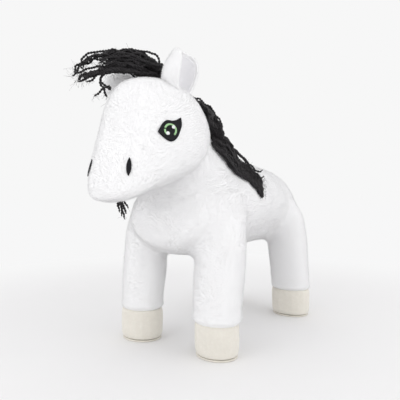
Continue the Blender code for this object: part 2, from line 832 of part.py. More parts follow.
def build_mane():
    """Yarn on each side of the crest, laid over neck, back and shoulders."""
    shapes = [
        soft("neck_under_mane", neck_mesh, 2, mane_clearance),
        soft("torso_under_mane", torso_mesh, 2, mane_clearance),
    ]
    for side in (1, -1):
        name = f"shoulder_under_mane_{side}"
        shapes.append(soft(name, leg_meshes[True, side], 1, mane_shoulder_clearance))
    trees = shape_trees(*shapes)
    for where, side, falls in (("left", 1, mane_left_fall_shares), ("right", -1, mane_right_fall_shares)):
        fans = []
        for c in range(mane_columns + 1):
            share = c / mane_columns
            rise = share_at(share, mane_station_shares, mane_rise_shares)
            y = front_feet_y - mane_front_reach + mane_span * share
            centre = Vector((side * mane_half_gap, y, mane_low_height + mane_rise * rise))
            crest = upward_at(mane_crest_angle * share_at(share, mane_station_shares, mane_crest_shares))
            fall = mane_fall_angle * share_at(share, mane_station_shares, falls)
            fans.append((centre, crest, Vector((side, 0, 0)), 0, fall))
        locks = draped(
            "mane_" + where, fans, mane_rows, trees, mane_thickness, mane_swell_shares,
            mane_depth_shares, 0, black_yarn,
        )
        for label, cutter in (("head", mane_head_clear), ("poll", poll_clear)):
            for turn in (-1, 0, 1):
                name = f"{label}_beside_mane_{where}_{turn}"
                combine(locks, swung(cutter, name, neck_seat, neck_axis, turn * head_turn_angle))


def poll_locks(name, grown, material):
    """The mane's highest lock, on the back of the head, or the space that it keeps clear."""
    trees = shape_trees(soft("head_under_" + name, head_mesh, 2, mane_clearance - grown))
    fans = []
    widened = grown / poll_reach
    sweep = poll_back_angle - poll_front_angle + widened + widened
    for c in range(poll_columns + 1):
        share = c / poll_columns
        crest = upward_at(poll_front_angle - widened + sweep * share)
        half = poll_half_angle * poll_fall_shares[c] + widened
        centre = Vector((0, front_feet_y - poll_reach, poll_height))
        fans.append((centre, crest, Vector((1, 0, 0)), -half, half))
    return draped(
        name, fans, poll_rows, trees, poll_thickness, poll_swell_shares, poll_depth_shares,
        grown + grown, material,
    )


def forelock_points():
    return [
        Vector((
            x * forelock_spread,
            front_feet_y - y * forelock_reach,
            forelock_root_height + z * forelock_rise,
        ))
        for x, y, z in forelock_path_shares
    ]


def build_forelock(forelock_pivot):
    centres = forelock_points()
    rings = []
    for i, (centre, share) in enumerate(zip(centres, forelock_radius_shares)):
        ahead = centres[min(i + 1, len(centres) - 1)] - centres[max(i - 1, 0)]
        sideways = ahead.cross(Vector((0, 0, 1))).normalized()
        upwards = sideways.cross(ahead).normalized()
        size = forelock_radius * share
        rings.append(oval_ring(centre, sideways * size * forelock_flatness_share, upwards * size))
    bundle = soft("forelock", loft_mesh("forelock_cage", rings), 1, 0, black_yarn)
    root = forelock_pivot.matrix_world.translation
    along = centres[-1] - centres[0]
    hinge_line = along.cross(Vector((0, 0, 1))).normalized()
    for name, share in (("rest", 0), ("half", 1 / 2), ("lifted", 1)):
        cutter_name = "head_under_forelock_" + name
        combine(bundle, swung(head_clear, cutter_name, root, hinge_line, share * forelock_lift_angle))
    carry(forelock_pivot, bundle)


def build_tail(swing_pivot, lift_pivot):
    """The stitched dock, and the bundle of yarn that hangs from it behind the rump."""
    knot = rod_cutter("dock_shape", dock, Vector((0, 1, 0)), dock_radius, dock_length)
    root = place("tail_dock", knot.data.copy(), black_yarn)
    root.matrix_world = knot.matrix_world
    bpy.data.objects.remove(knot)
    rounding = root.modifiers.new("Round", "BEVEL")
    rounding.width = dock_radius / 3
    rounding.segments = 2
    for name, angle in (("rest", 0), ("left", tail_swing_angle), ("right", -tail_swing_angle)):
        combine(root, swung(torso_clear, "rump_at_dock_" + name, dock, "Y", angle))
    carry(swing_pivot, root)
    rings = []
    for station, back, share in zip(tail_station_shares, tail_back_shares, tail_radius_shares):
        centre = dock + Vector((0, dock_length / 2 + tail_stand_off * back, -tail_length * station))
        size = tail_radius * share
        rings.append(oval_ring(centre, Vector((size, 0, 0)), Vector((0, size, 0))))
    yarn = soft("tail_yarn", loft_mesh("tail_cage", rings), 1, 0, black_yarn)
    carry(lift_pivot, yarn)


head_layers = [layer_cutters(layer) for layer in range(3)]
mane_head_clear = soft("mane_head_clear", head_mesh, 2, mane_head_clearance)
poll_clear = poll_locks("poll_clear", poll_clearance, None)

rump_trees = shape_trees(soft("rump_under_dock", torso_mesh, 2, 0))
rump_line = outer_reach(rump_trees, Vector((0, 0, dock_height)), Vector((0, 1, 0)))
dock = Vector((0, rump_line + dock_stand, dock_height))

head_turn = pivot("head_turn_pivot", neck_seat)
ear_y = front_feet_y - ear_reach
ear_left_fold = pivot("ear_left_fold_pivot", (ear_spread, ear_y, ear_hinge_height), head_turn)
ear_right_fold = pivot("ear_right_fold_pivot", (-ear_spread, ear_y, ear_hinge_height), head_turn)
forelock_lift = pivot("forelock_lift_pivot", forelock_points()[0], head_turn)
tail_swing = pivot("tail_swing_pivot", dock)
tail_lift = pivot("tail_lift_pivot", dock + Vector((0, dock_length / 2, 0)), tail_swing)

build_torso()
build_neck()
build_head(head_turn)
for is_front in (True, False):
    for which_side in (1, -1):
        build_leg(is_front, which_side)
build_ear(1, ear_left_fold)
build_ear(-1, ear_right_fold)
for which_side in (1, -1):
    build_eye(which_side, head_turn)
    build_nostril(which_side, head_turn)
build_mane()
carry(head_turn, poll_locks("mane_poll", 0, black_yarn))
build_forelock(forelock_lift)
build_tail(tail_swing, tail_lift)
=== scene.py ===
import json
from math import cos, pi, radians, sin

import bmesh
import bpy
import numpy as np
from mathutils import Matrix, Vector
from mathutils.bvhtree import BVHTree

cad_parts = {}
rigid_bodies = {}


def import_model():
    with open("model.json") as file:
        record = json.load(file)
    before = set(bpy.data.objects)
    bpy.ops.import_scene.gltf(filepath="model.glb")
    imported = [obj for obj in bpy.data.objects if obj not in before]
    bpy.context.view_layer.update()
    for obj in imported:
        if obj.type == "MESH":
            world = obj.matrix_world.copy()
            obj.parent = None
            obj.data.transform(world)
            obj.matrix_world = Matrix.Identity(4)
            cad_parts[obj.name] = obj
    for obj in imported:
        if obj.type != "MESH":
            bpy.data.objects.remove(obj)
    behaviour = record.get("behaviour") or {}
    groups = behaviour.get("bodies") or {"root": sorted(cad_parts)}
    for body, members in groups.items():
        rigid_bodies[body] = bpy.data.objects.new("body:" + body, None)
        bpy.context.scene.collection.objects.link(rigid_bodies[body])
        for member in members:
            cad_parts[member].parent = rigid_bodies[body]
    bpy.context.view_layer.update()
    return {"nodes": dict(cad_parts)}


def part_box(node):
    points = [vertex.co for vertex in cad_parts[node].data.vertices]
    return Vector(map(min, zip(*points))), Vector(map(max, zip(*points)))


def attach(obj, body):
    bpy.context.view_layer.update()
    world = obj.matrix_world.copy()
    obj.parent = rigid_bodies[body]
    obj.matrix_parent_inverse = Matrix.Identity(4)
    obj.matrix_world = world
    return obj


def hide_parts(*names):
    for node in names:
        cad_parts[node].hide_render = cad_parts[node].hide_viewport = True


for stray in list(bpy.data.objects):
    bpy.data.objects.remove(stray)

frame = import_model()


# ------------------
# Camera: level, just above the horse's chest, to the left of its nose and
# about half a metre away.
camera_place = (0.3013, -0.4739, 0.180)
camera_aim = Vector((-0.559, 0.829, 0))


def added(name, held):
    """A new object in the scene that holds this mesh, lamp or lens."""
    new = bpy.data.objects.new(name, held)
    bpy.context.scene.collection.objects.link(new)
    return new


lens = bpy.data.cameras.new("camera")
lens.lens = 40.14
lens.shift_y = -0.0375
lens.clip_start = 0.01
camera = added("camera", lens)
camera.location = camera_place
camera.rotation_euler = camera_aim.to_track_quat("-Z", "Y").to_euler()
bpy.context.scene.camera = camera
bpy.context.scene.view_settings.view_transform = "Standard"


# ------------------
# Floor: a pale sheet that the horse stands on. Close to the horse it takes its
# shadow, and further out it turns into the plain pale background.
class Value:
    """What comes out of a node. Arithmetic on it adds Math nodes."""

    def __init__(self, nodes, socket):
        self.nodes, self.socket = nodes, socket

    def also(self, out):
        """Another output of the same node."""
        return Value(self.nodes, self.socket.node.outputs[out])

    def maths(self, operation, other, clamp=False):
        settings = {"operation": operation, "use_clamp": clamp}
        return self.nodes.add("ShaderNodeMath", settings, {0: self, 1: other})

    def __add__(self, other):
        return self.maths("ADD", other)

    def __mul__(self, other):
        return self.maths("MULTIPLY", other)

    def __truediv__(self, other):
        return self.maths("DIVIDE", other)

    __radd__, __rmul__ = __add__, __mul__

    def clamped(self):
        return self.maths("ADD", 0.0, clamp=True)


class Nodes:
    """The nodes of a material, of the room, or of a recipe for geometry."""

    def __init__(self, tree):
        self.tree = tree

    def add(self, kind, settings, values, out=0):
        """One node: its settings first, then the values or links of its sockets."""
        made = self.tree.nodes.new(kind)
        for name, value in settings.items():
            setattr(made, name, value)
        self.fill(made, values)
        return Value(self, made.outputs[out])

    def fill(self, made, values):
        for name, value in values.items():
            for each in value if isinstance(value, list) else [value]:
                if isinstance(each, Value):
                    self.tree.links.new(each.socket, made.inputs[name])
                else:
                    made.inputs[name].default_value = each


class Finish(Nodes):
    """A material on the Principled shader, whose sockets drive sets by name."""

    def __init__(self, name, **plain):
        self.material = bpy.data.materials.new(name)
        self.material.use_nodes = True
        super().__init__(self.material.node_tree)
        self.shader = self.tree.nodes["Principled BSDF"]
        self.drive(**plain)

    def drive(self, **inputs):
        self.fill(self.shader, {name.replace("_", " "): value for name, value in inputs.items()})

    def on(self, piece):
        piece.data.materials.append(self.material)

    def place(self):
        return self.add("ShaderNodeTexCoord", {}, {}, "Object")

    def noise(self, scale, detail=2.0, roughness=0.5):
        values = {"Vector": self.place(), "Scale": scale, "Detail": detail, "Roughness": roughness}
        return self.add("ShaderNodeTexNoise", {}, values, "Fac")

    def between(self, share, low, high):
        """The colour that lies this share of the way from low to high."""
        low, high = (end if isinstance(end, Value) else (*end, 1) for end in (low, high))
        return self.add("ShaderNodeMix", {"data_type": "RGBA"}, {0: share, 6: low, 7: high}, 2)

    def mottle(self, scale, detail, dark, light):
        self.drive(Base_Color=self.between(self.noise(scale, detail), dark, light))

    def bump(self, height, strength, distance):
        values = {"Height": height, "Strength": strength, "Distance": distance}
        self.drive(Normal=self.add("ShaderNodeBump", {}, values))


def from_lists(name, points, edges, faces):
    mesh = bpy.data.meshes.new(name)
    mesh.from_pydata([tuple(point) for point in points], edges, faces)
    return added(name, mesh)


background = 0.930
floor_tone = (0.83, 0.825, 0.83)
floor_shade = tuple(0.98 * part for part in floor_tone)
floor_clear, floor_gone = 0.30, 0.62
floor_reach = 4

floor = Finish("floor_paper", Roughness=0.9)
floor.mottle(9.0, 2.0, floor_tone, floor_shade)
away = floor.add("ShaderNodeVectorMath", {"operation": "LENGTH"}, {0: floor.place()}, "Value")
fade = floor.add("ShaderNodeMapRange", {"interpolation_type": "SMOOTHSTEP"}, {
    "Value": away, "From Min": floor_clear, "From Max": floor_gone,
})
seen = floor.add("ShaderNodeLightPath", {}, {}, "Is Camera Ray")
glow = floor.add("ShaderNodeEmission", {}, {"Color": (background, background, background * 1.002, 1)})
mixed = floor.add("ShaderNodeMixShader", {}, {
    0: fade * seen, 1: Value(floor, floor.shader.outputs[0]), 2: glow,
})
floor.fill(floor.tree.nodes["Material Output"], {"Surface": mixed})

corners = [(x * floor_reach, y * floor_reach, 0) for x, y in ((-1, -1), (1, -1), (1, 1), (-1, 1))]
ground = from_lists("floor", corners, [], [(0, 1, 2, 3)])
floor.on(ground)


# ------------------
# Light: an even white room with two wide soft lamps, one low in front of the
# horse and one by its left side, so that chin, chest and belly lie in soft shade.
room_light = 0.99
room = bpy.data.worlds.new("room")
bpy.context.scene.world = room
room.use_nodes = True
walls = Nodes(room.node_tree)
seen = walls.add("ShaderNodeLightPath", {}, {}, "Is Camera Ray")
strength = walls.add("ShaderNodeMix", {}, {0: seen, 2: room_light, 3: background})
walls.fill(room.node_tree.nodes["Background"], {"Strength": strength, "Color": (1, 1, 1, 1)})


def lamp(name, place, size, power):
    """A square soft lamp that looks at the horse's middle."""
    soft = bpy.data.lights.new(name, "AREA")
    soft.size, soft.energy = size, power
    hung = added(name, soft)
    hung.location = place
    hung.rotation_euler = (Vector((0, 0, 0.15)) - Vector(place)).to_track_quat("-Z", "Y").to_euler()


lamp("key_lamp", (-0.35, -1.25, 0.50), 1.1, 3.4)
lamp("fill_lamp", (1.25, 0.10, 0.60), 1.2, 3.4)


# ------------------
# Body: torso, neck and legs are one stuffed skin of white plush, cut in panels
# that are sewn right sides together. The filling presses it out between the
# seams, which sink in where each leg and the neck are set on.
skin_voxel = 0.0040
skin_inset = 0.0012
skin_swell_least, skin_swell_most = 0.0012, 0.0026
cloth_settings = {
    "quality": 5, "mass": 0.3, "tension_stiffness": 15, "compression_stiffness": 15,
    "shear_stiffness": 5, "bending_stiffness": 0.5, "use_pressure": True,
    "uniform_pressure_force": 4000, "vertex_group_mass": "seam",
}
cloth_steps = 20
seam_pull, seam_reach = 0.4, (0.002, 0.006)
crease_reach, crease_rounds = (0.005, 0.022), 26
leg_foot, leg_foot_pile = (0.034, 0.038), (0.0355, 0.0385)
leg_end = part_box("leg_cover_front_left")[0][2]
leg_brim, leg_brim_rise = 0.0012, 0.0035
full_leg, full_leg_reach = 0.0020, (0.002, 0.008)
plush_white = (0.95, 0.95, 0.952)
plush_shade = (0.925, 0.922, 0.932)


def nodes_named(*starts):
    return sorted(name for name in frame["nodes"] if name.startswith(starts))


def from_shape(name, shape):
    mesh = bpy.data.meshes.new(name)
    shape.to_mesh(mesh)
    shape.free()
    return added(name, mesh)


def merged(name, nodes):
    """A new piece that holds copies of these CAD nodes, with their points joined."""
    shape = bmesh.new()
    for node in nodes:
        shape.from_mesh(frame["nodes"][node].data)
    bmesh.ops.remove_doubles(shape, verts=shape.verts, dist=1e-6)
    return from_shape(name, shape)


def settled(piece):
    """The piece with its modifiers turned into plain mesh."""
    graph = bpy.context.evaluated_depsgraph_get()
    mesh = bpy.data.meshes.new_from_object(piece.evaluated_get(graph))
    piece.modifiers.clear()
    piece.data = mesh
    return piece


def modified(piece, kind, **settings):
    """The piece after one modifier of this kind."""
    change = piece.modifiers.new(kind, kind)
    for name, value in settings.items():
        setattr(change, name, value)
    return settled(piece)


def subdivided(piece):
    modified(piece, "SUBSURF", levels=1, render_levels=1)
    piece.data.shade_smooth()
    return piece


def points_of(mesh, what="co"):
    """The mesh's points in one array, or another value that each of them has."""
    held = np.empty(len(mesh.vertices) * 3, np.float32)
    mesh.vertices.foreach_get(what, held)
    return held.reshape(-1, 3).astype(np.float64)


def move_points(mesh, points):
    mesh.vertices.foreach_set("co", points.astype(np.float32).ravel())
    mesh.update()


def swell(mesh, amount):
    """Moves the skin outwards by amount: one for all its points, or one for each."""
    move_points(mesh, points_of(mesh) + points_of(mesh, "normal") * np.reshape(amount, (-1, 1)))


def keep_outside(mesh):
    """Drops the inner faces of a hollow wall: all that don't join up with the lowest point."""
    shape = bmesh.new()
    shape.from_mesh(mesh)
    lowest = min(shape.verts, key=lambda vert: vert.co.z)
    outside, fresh = {lowest}, [lowest]
    while fresh:
        vert = fresh.pop()
        joined = {edge.other_vert(vert) for edge in vert.link_edges} - outside
        outside |= joined
        fresh += joined
    inside = [vert for vert in shape.verts if vert not in outside]
    bmesh.ops.delete(shape, geom=inside, context="VERTS")
    shape.to_mesh(mesh)
    shape.free()


def remeshed(piece, voxel, smoothing):
    """The piece's outer skin in even squares, with its corners eased."""
    modified(piece, "REMESH", mode="VOXEL", voxel_size=voxel)
    keep_outside(piece.data)
    modified(piece, "SMOOTH", factor=0.5, iterations=smoothing)


def tree_of(*nodes):
    """One search tree over these CAD nodes or pieces."""
    shape = bmesh.new()
    for node in nodes:
        shape.from_mesh(frame["nodes"][node].data if isinstance(node, str) else node.data)
    tree = BVHTree.FromBMesh(shape)
    shape.free()
    return tree


def distances(points, *nodes, most=0.05):
    """How far each point is from these CAD nodes or pieces."""
    tree = tree_of(*nodes)
    found = (tree.find_nearest(Vector(point), most)[3] for point in points)
    return np.array([most if far is None else far for far in found])


def ramp(values, low, high):
    """From 0 at low to 1 at high, with soft ends."""
    share = np.clip((values - low) / (high - low), 0, 1)
    return share * share * (3 - 2 * share)


def lumps(points, size, seed):
    """A smooth uneven field from -1 to 1 over the points, about this size from lump to lump."""
    draw = np.random.default_rng(seed)
    total = np.zeros(len(points))
    for _ in range(7):
        way = draw.normal(size=3)
        way /= np.linalg.norm(way)
        length = size * draw.uniform(0.8, 1.6)
        total += np.sin(points @ way * (2 * pi / length) + draw.uniform(0, 2 * pi))
    return total / 7 ** 0.5 / 1.4


def stuffed(piece, held, low, high, slide=0.0006):
    """Presses the skin out from inside by low to high, as the filling does.

    Points where held is 1 stay in, and none slides along the skin by more than slide.
    """
    before = points_of(piece.data)
    seam = piece.vertex_groups.new(name="seam")
    for index in np.flatnonzero(held > 0.02):
        seam.add([int(index)], float(held[index]), "REPLACE")
    cloth = piece.modifiers.new("Cloth", "CLOTH")
    for name, value in cloth_settings.items():
        setattr(cloth.settings, name, value)
    cloth.settings.effector_weights.gravity = 0
    cloth.point_cache.frame_start, cloth.point_cache.frame_end = 1, cloth_steps
    for step in range(1, cloth_steps + 1):
        bpy.context.scene.frame_set(step)
    settled(piece)
    bpy.context.scene.frame_set(1)
    moved, out = points_of(piece.data) - before, points_of(piece.data, "normal")
    pressed = (moved * out).sum(axis=1)
    aside = moved - out * pressed[:, None]
    aside *= np.minimum(1, slide / np.maximum(np.linalg.norm(aside, axis=1), 1e-9))[:, None]
    move_points(piece.data, before + aside + out * np.clip(pressed, low * (1 - held), high)[:, None])


def rounded(piece, shares, rounds):
    """Evens out the skin's creases, as far as shares says at each point."""
    edges = np.array([e.vertices[:] for e in piece.data.edges])
    points = points_of(piece.data)
    for _ in range(rounds):
        total, count = np.zeros_like(points), np.zeros(len(points))
        for a, b in ((0, 1), (1, 0)):
            np.add.at(total, edges[:, a], points[edges[:, b]])
            np.add.at(count, edges[:, a], 1)
        points += (total / count[:, None] - points) * (0.6 * shares)[:, None]
    move_points(piece.data, points)


def hand_over(piece, rides, slot, *nodes):
    """Says what moves the piece and which CAD nodes it stands for. The slot is not used."""
    if nodes:
        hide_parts(*nodes)
    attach(piece, rides)


leg_names = [f"{end}_{side}" for end in ("front", "rear") for side in ("left", "right")]
body_nodes = nodes_named("torso_", "neck_", "leg_")
body = merged("body_skin", body_nodes)
remeshed(body, skin_voxel, 6)
spots = points_of(body.data)
from_seam = np.maximum(distances(spots, "torso_cover"),
                       distances(spots, "neck_cover", *nodes_named("leg_cover")))
held = np.maximum(seam_pull * (1 - ramp(from_seam, *seam_reach)), 1 - ramp(spots[:, 2], *leg_foot))
rounded(body, 1 - ramp(from_seam, *crease_reach), crease_rounds)
swell(body.data, -skin_inset)
stuffed(body, held, skin_swell_least, skin_swell_most)
spots = points_of(body.data)
uneven = 0.0007 * lumps(spots, 0.034, 3) + 0.00025 * lumps(spots, 0.011, 4)
uneven += full_leg * (1 - ramp(distances(spots, "leg_cover_front_left"), *full_leg_reach))
swell(body.data, uneven * (1 - 0.6 * held))
subdivided(body)
spots = points_of(body.data)
brim = leg_brim * np.exp(-((spots[:, 2] - leg_end - leg_brim_rise) / leg_brim_rise) ** 2)
brim = brim * (spots[:, 2] > leg_end)
move_points(body.data, spots + points_of(body.data, "normal") * (1, 1, 0) * brim[:, None])

plush = Finish("plush_backing", Roughness=0.95, Sheen_Weight=0.25, Sheen_Roughness=0.6)
plush.mottle(38.0, 3.0, plush_shade, plush_white)
plush.bump(plush.noise(900.0, 2.0), 0.5, 0.0006)
plush.on(body)
hand_over(body, "body", "white_plush", *body_nodes)


# ------------------
# Pile: the plush's short nap, some two millimetres of fine polyester that
# stands in small tufts, leans down and back, and swirls where a hand has been.
pile_length, pile_radius = 0.0017, 0.00022
pile_per_area = 0.8e6
# Colour at the roots of the tufts: painted shade deep in the pile.
pile_root_painted_shade = (0.93, 0.928, 0.935)

pile = Finish("plush_pile", Roughness=0.95, Sheen_Weight=0.3, Sheen_Roughness=0.5)
tip = pile.add("ShaderNodeAttribute", {"attribute_name": "tip"}, {}, "Fac")
tone = pile.between(pile.noise(38.0, 3.0), plush_shade, plush_white)
fleck = pile.noise(700.0, 1.0)
# Each tuft runs from the painted shade at its root to the plush's own tone at its tip.
pile.drive(Base_Color=pile.between((tip * 0.9 + fleck * 0.25).clamped(), pile_root_painted_shade, tone))


class Recipe(Nodes):
    """A Geometry Nodes tree with named inputs, which ends in plain smooth faces of one finish."""

    def __init__(self, name, numbers, **others):
        super().__init__(bpy.data.node_groups.new(name, "GeometryNodeTree"))
        numbers = dict.fromkeys(numbers, "Float")
        face = self.tree.interface
        for title, kind in {"Geometry": "Geometry", **numbers, **others, "Finish": "Material"}.items():
            face.new_socket(title, in_out="INPUT", socket_type="NodeSocket" + kind)
        face.new_socket("Geometry", in_out="OUTPUT", socket_type="NodeSocketGeometry")
        entry = self.tree.nodes.new("NodeGroupInput")
        self.given = {socket.name: Value(self, socket) for socket in entry.outputs}

    def vector(self, operation, first, second):
        values = {0: first, "Scale" if operation == "SCALE" else 1: second}
        return self.add("ShaderNodeVectorMath", {"operation": operation}, values)

    def swirl(self, scale, detail, strength):
        """An offset that turns slowly from place to place."""
        values = {"Vector": self.add("GeometryNodeInputPosition", {}, {}), "Scale": scale, "Detail": detail}
        noise = self.add("ShaderNodeTexNoise", {"noise_dimensions": "3D"}, values, "Color")
        return self.vector("SCALE", self.vector("SUBTRACT", noise, (0.5, 0.5, 0.5)), strength)

    def finished(self, shape):
        shape = self.add("GeometryNodeRealizeInstances", {}, {"Geometry": shape})
        shape = self.add("GeometryNodeSetShadeSmooth", {}, {"Geometry": shape})
        values = {"Geometry": shape, "Material": self.given["Finish"]}
        shape = self.add("GeometryNodeSetMaterial", {}, values)
        self.fill(self.tree.nodes.new("NodeGroupOutput"), {"Geometry": shape})
        return self.tree


def tuft_tree():
    """Small cones over a surface, as thick as its pile attribute says, combed one way."""
    made = Recipe("tufts", ["Per area", "Length", "Radius", "Lean", "Swirl"], Comb="Vector", Seed="Int")
    add, given = made.add, made.given
    amount = add("GeometryNodeInputNamedAttribute", {"data_type": "FLOAT"}, {"Name": "pile"})
    points = add("GeometryNodeDistributePointsOnFaces", {"distribute_method": "RANDOM"}, {
        "Mesh": given["Geometry"], "Density": given["Per area"] * amount, "Seed": given["Seed"],
    })
    swirled = made.vector("ADD", given["Comb"], made.swirl(22.0, 2.0, given["Swirl"]))
    leaned = made.vector("SCALE", swirled, given["Lean"])
    stray = add("FunctionNodeRandomValue", {"data_type": "FLOAT_VECTOR"},
                {0: (-0.3, -0.3, -0.3), 1: (0.3, 0.3, 0.3), "Seed": given["Seed"]})
    way = made.vector("ADD", made.vector("ADD", points.also("Normal"), leaned), stray)
    turn = add("FunctionNodeAlignRotationToVector", {"axis": "Z"}, {"Vector": way})
    size = add("FunctionNodeRandomValue", {"data_type": "FLOAT"},
               {2: 0.7, 3: 1.2, "Seed": given["Seed"]}, 1)
    cone = add("GeometryNodeMeshCone", {"fill_type": "NGON"}, {
        "Vertices": 3, "Radius Top": 0.0, "Radius Bottom": given["Radius"], "Depth": given["Length"],
    })
    height = add("ShaderNodeSeparateXYZ", {}, {0: add("GeometryNodeInputPosition", {}, {})}, "Z")
    marked = add("GeometryNodeStoreNamedAttribute", {"data_type": "FLOAT", "domain": "POINT"},
                 {"Geometry": cone, "Name": "tip", "Value": height / given["Length"]})
    return made.finished(add("GeometryNodeInstanceOnPoints", {}, {
        "Points": points, "Instance": marked, "Rotation": turn, "Scale": size,
    }))


def run_tree(piece, tree, values):
    """Runs the tree on the piece and keeps the result as its plain mesh."""
    work = piece.modifiers.new("Work", "NODES")
    work.node_group = tree
    sockets = {s.name: s.identifier for s in tree.interface.items_tree if s.in_out == "INPUT"}
    for name, value in values.items():
        work[sockets[name]] = value
    return settled(piece)


tufts = tuft_tree()


def piled(name, skin, rides, amount, seed, wanted=None, per_area=pile_per_area, length=pile_length,
          radius=pile_radius, lean=0.3, swirl=0.7, comb=(0, 0.35, -1)):
    """Tufts on the skin's faces whose first point is wanted, as thick as amount says there."""
    shape = bmesh.new()
    shape.from_mesh(skin.data)
    layer = shape.verts.layers.float.new("pile")
    for vert, share in zip(shape.verts, amount):
        vert[layer] = share
    if wanted is not None:
        shape.faces.ensure_lookup_table()
        away = [f for f in shape.faces if not wanted[f.verts[0].index]]
        bmesh.ops.delete(shape, geom=away, context="FACES")
    nap = from_shape(name, shape)
    run_tree(nap, tufts, {
        "Per area": per_area, "Length": length, "Radius": radius, "Lean": lean, "Swirl": swirl,
        "Comb": comb, "Seed": seed, "Finish": pile.material,
    })
    hand_over(nap, rides, "white_plush")


def clear_of(points, *nodes):
    """From 0 under these locks of yarn to 1 where none lies on the skin."""
    return ramp(distances(points, *nodes, most=0.01), 0.0005, 0.004)


spots = points_of(body.data)
near_legs = np.array([distances(spots, "leg_cover_" + leg, most=0.03) for leg in leg_names])
near_torso, near_neck = distances(spots, "torso_cover"), distances(spots, "neck_cover")
closest = near_legs.argmin(axis=0)
is_leg = near_legs.min(axis=0) < np.minimum(near_torso, near_neck)
is_neck = near_neck < near_torso
behind = spots[:, 1] > 0.03
cover = ramp(spots[:, 2], *leg_foot_pile) * (0.7 + 0.3 * clear_of(spots, "mane_left", "mane_right"))
for name, part in (("neck", is_neck), ("chest", ~is_neck & ~behind), ("rump", ~is_neck & behind)):
    piled("pile_" + name, body, "body", cover, 11, ~is_leg & part)
for number, leg in enumerate(leg_names):
    piled("pile_leg_" + leg, body, "body", cover, 21 + number, is_leg & (closest == number),
          comb=(0, 0.1, -1))


# ------------------
# Head: a stuffed ball of plush with a long soft muzzle, made of side panels and
# a face gusset. Its embroidery pulls the cloth in round the eyes and nostrils.
head_voxel = 0.0032
head_nodes = ["head_cover", "head_stuffing"]
face_stitching = nodes_named("eye_", "nostril_")
ear_hinge = (0.031, -0.1094, 0.280)

head = merged("head_skin", head_nodes)
remeshed(head, head_voxel, 4)
spots = points_of(head.data)
held = 1 - ramp(distances(spots, *face_stitching, most=0.02), 0.001, 0.008)
for side in (1, -1):
    from_root = np.linalg.norm(spots - np.array(ear_hinge) * (side, 1, 1), axis=1)
    held = np.maximum(held, 0.7 * (1 - ramp(from_root, 0.012, 0.024)))
swell(head.data, -(0.0006 + 0.0009 * (1 - held)))
stuffed(head, held, skin_swell_least, skin_swell_most)
spots = points_of(head.data)
uneven = 0.0006 * lumps(spots, 0.030, 5) + 0.0002 * lumps(spots, 0.010, 6)
swell(head.data, uneven * (1 - held))
subdivided(head)
plush.on(head)
hand_over(head, "head", "white_plush", *head_nodes)

spots = points_of(head.data)
cover = ramp(distances(spots, *face_stitching, most=0.02), 0.0008, 0.0016)
cover = cover * (0.3 + 0.7 * clear_of(spots, "mane_poll"))
piled("pile_head", head, "head", cover, 31, length=0.0014, swirl=0.4, comb=(0, 0.6, -0.8))


# ------------------
# Ears: a cupped leaf of plush with a thin smooth lining, sewn round the rim and
# turned, then set into the crown. The right one has dropped outwards.
ear_height = 0.0445
ear_foot = 0.272
ear_droop = radians(55)
ear_radius = 0.0185
ear_radii = (0.66, 0.92, 1.06, 1.10, 1.05, 0.92, 0.72)
ear_wraps, ear_rounds = (radians(121), radians(108)), (8, 6)
ear_across, ear_up = 22, 22
ear_wall, ear_lining_wall = 0.0024, 0.0012
ear_inset = ear_wall + 0.0004
# The lining's two greys, darker than the plush outside, are painted shade of the ear's hollow.
lining_painted_shade_pale, lining_painted_shade_grey = (0.90, 0.895, 0.91), (0.84, 0.835, 0.855)

lining = Finish("ear_lining", Roughness=0.8, Sheen_Weight=0.35, Sheen_Roughness=0.4)
# Random mottle between the two greys of painted shade.
lining.mottle(120.0, 3.0, lining_painted_shade_grey, lining_painted_shade_pale)
lining.bump(lining.noise(1500.0, 1.0), 0.35, 0.0003)


def along(table, share):
    """The value that lies this share of the way along a table of evenly spaced ones."""
    return float(np.interp(share, np.linspace(0, 1, len(table)), table))


def ear_leaf(side, inset, top, low):
    """A cupped leaf, its hollow turned outwards, from its foot to a rounded tip."""
    shape = bmesh.new()
    rows = []
    for j in range(ear_up + 1):
        up = low + (top - low) * (1 - (1 - j / ear_up) ** 1.3)
        radius = ear_radius * along(ear_radii, up) - inset
        front, back = (wrap * max(max(1 - (max(up, 0) / top) ** rounding, 0) ** 0.5, 0.01)
                       for wrap, rounding in zip(ear_wraps, ear_rounds))
        row = []
        for i in range(ear_across + 1):
            u = 2 * i / ear_across - 1
            angle = (front if u > 0 else back) * u
            curl = 1 - 0.10 * (1 - up) * abs(u) ** 4
            dent = 0.0016 * (1 - u * u) ** 2 * sin(pi * min(up * 1.1, 1))
            x = ear_hinge[0] + 0.013 * up ** 2 - (radius * curl - dent) * cos(angle)
            y = -radius * curl * sin(angle)
            row.append(shape.verts.new((x, ear_hinge[1] + y, ear_foot + ear_height * up)))
        rows.append(row)
    for lower, upper in zip(rows, rows[1:]):
        for i in range(ear_across):
            shape.faces.new((lower[i], upper[i], upper[i + 1], lower[i + 1]))
    bmesh.ops.remove_doubles(shape, verts=rows[-1], dist=2e-4)
    if side < 0:
        hinge = Matrix.Translation((-ear_hinge[0], ear_hinge[1], ear_hinge[2]))
        turn = hinge @ Matrix.Rotation(-ear_droop, 4, "Y") @ hinge.inverted()
        shape.transform(turn @ Matrix.Scale(-1, 4, (1, 0, 0)))
        bmesh.ops.reverse_faces(shape, faces=shape.faces)
    return shape


def leaf_piece(name, shape, wall, finish):
    leaf = modified(from_shape(name, shape), "SOLIDIFY", thickness=wall, offset=0)
    finish.on(subdivided(leaf))
    return leaf


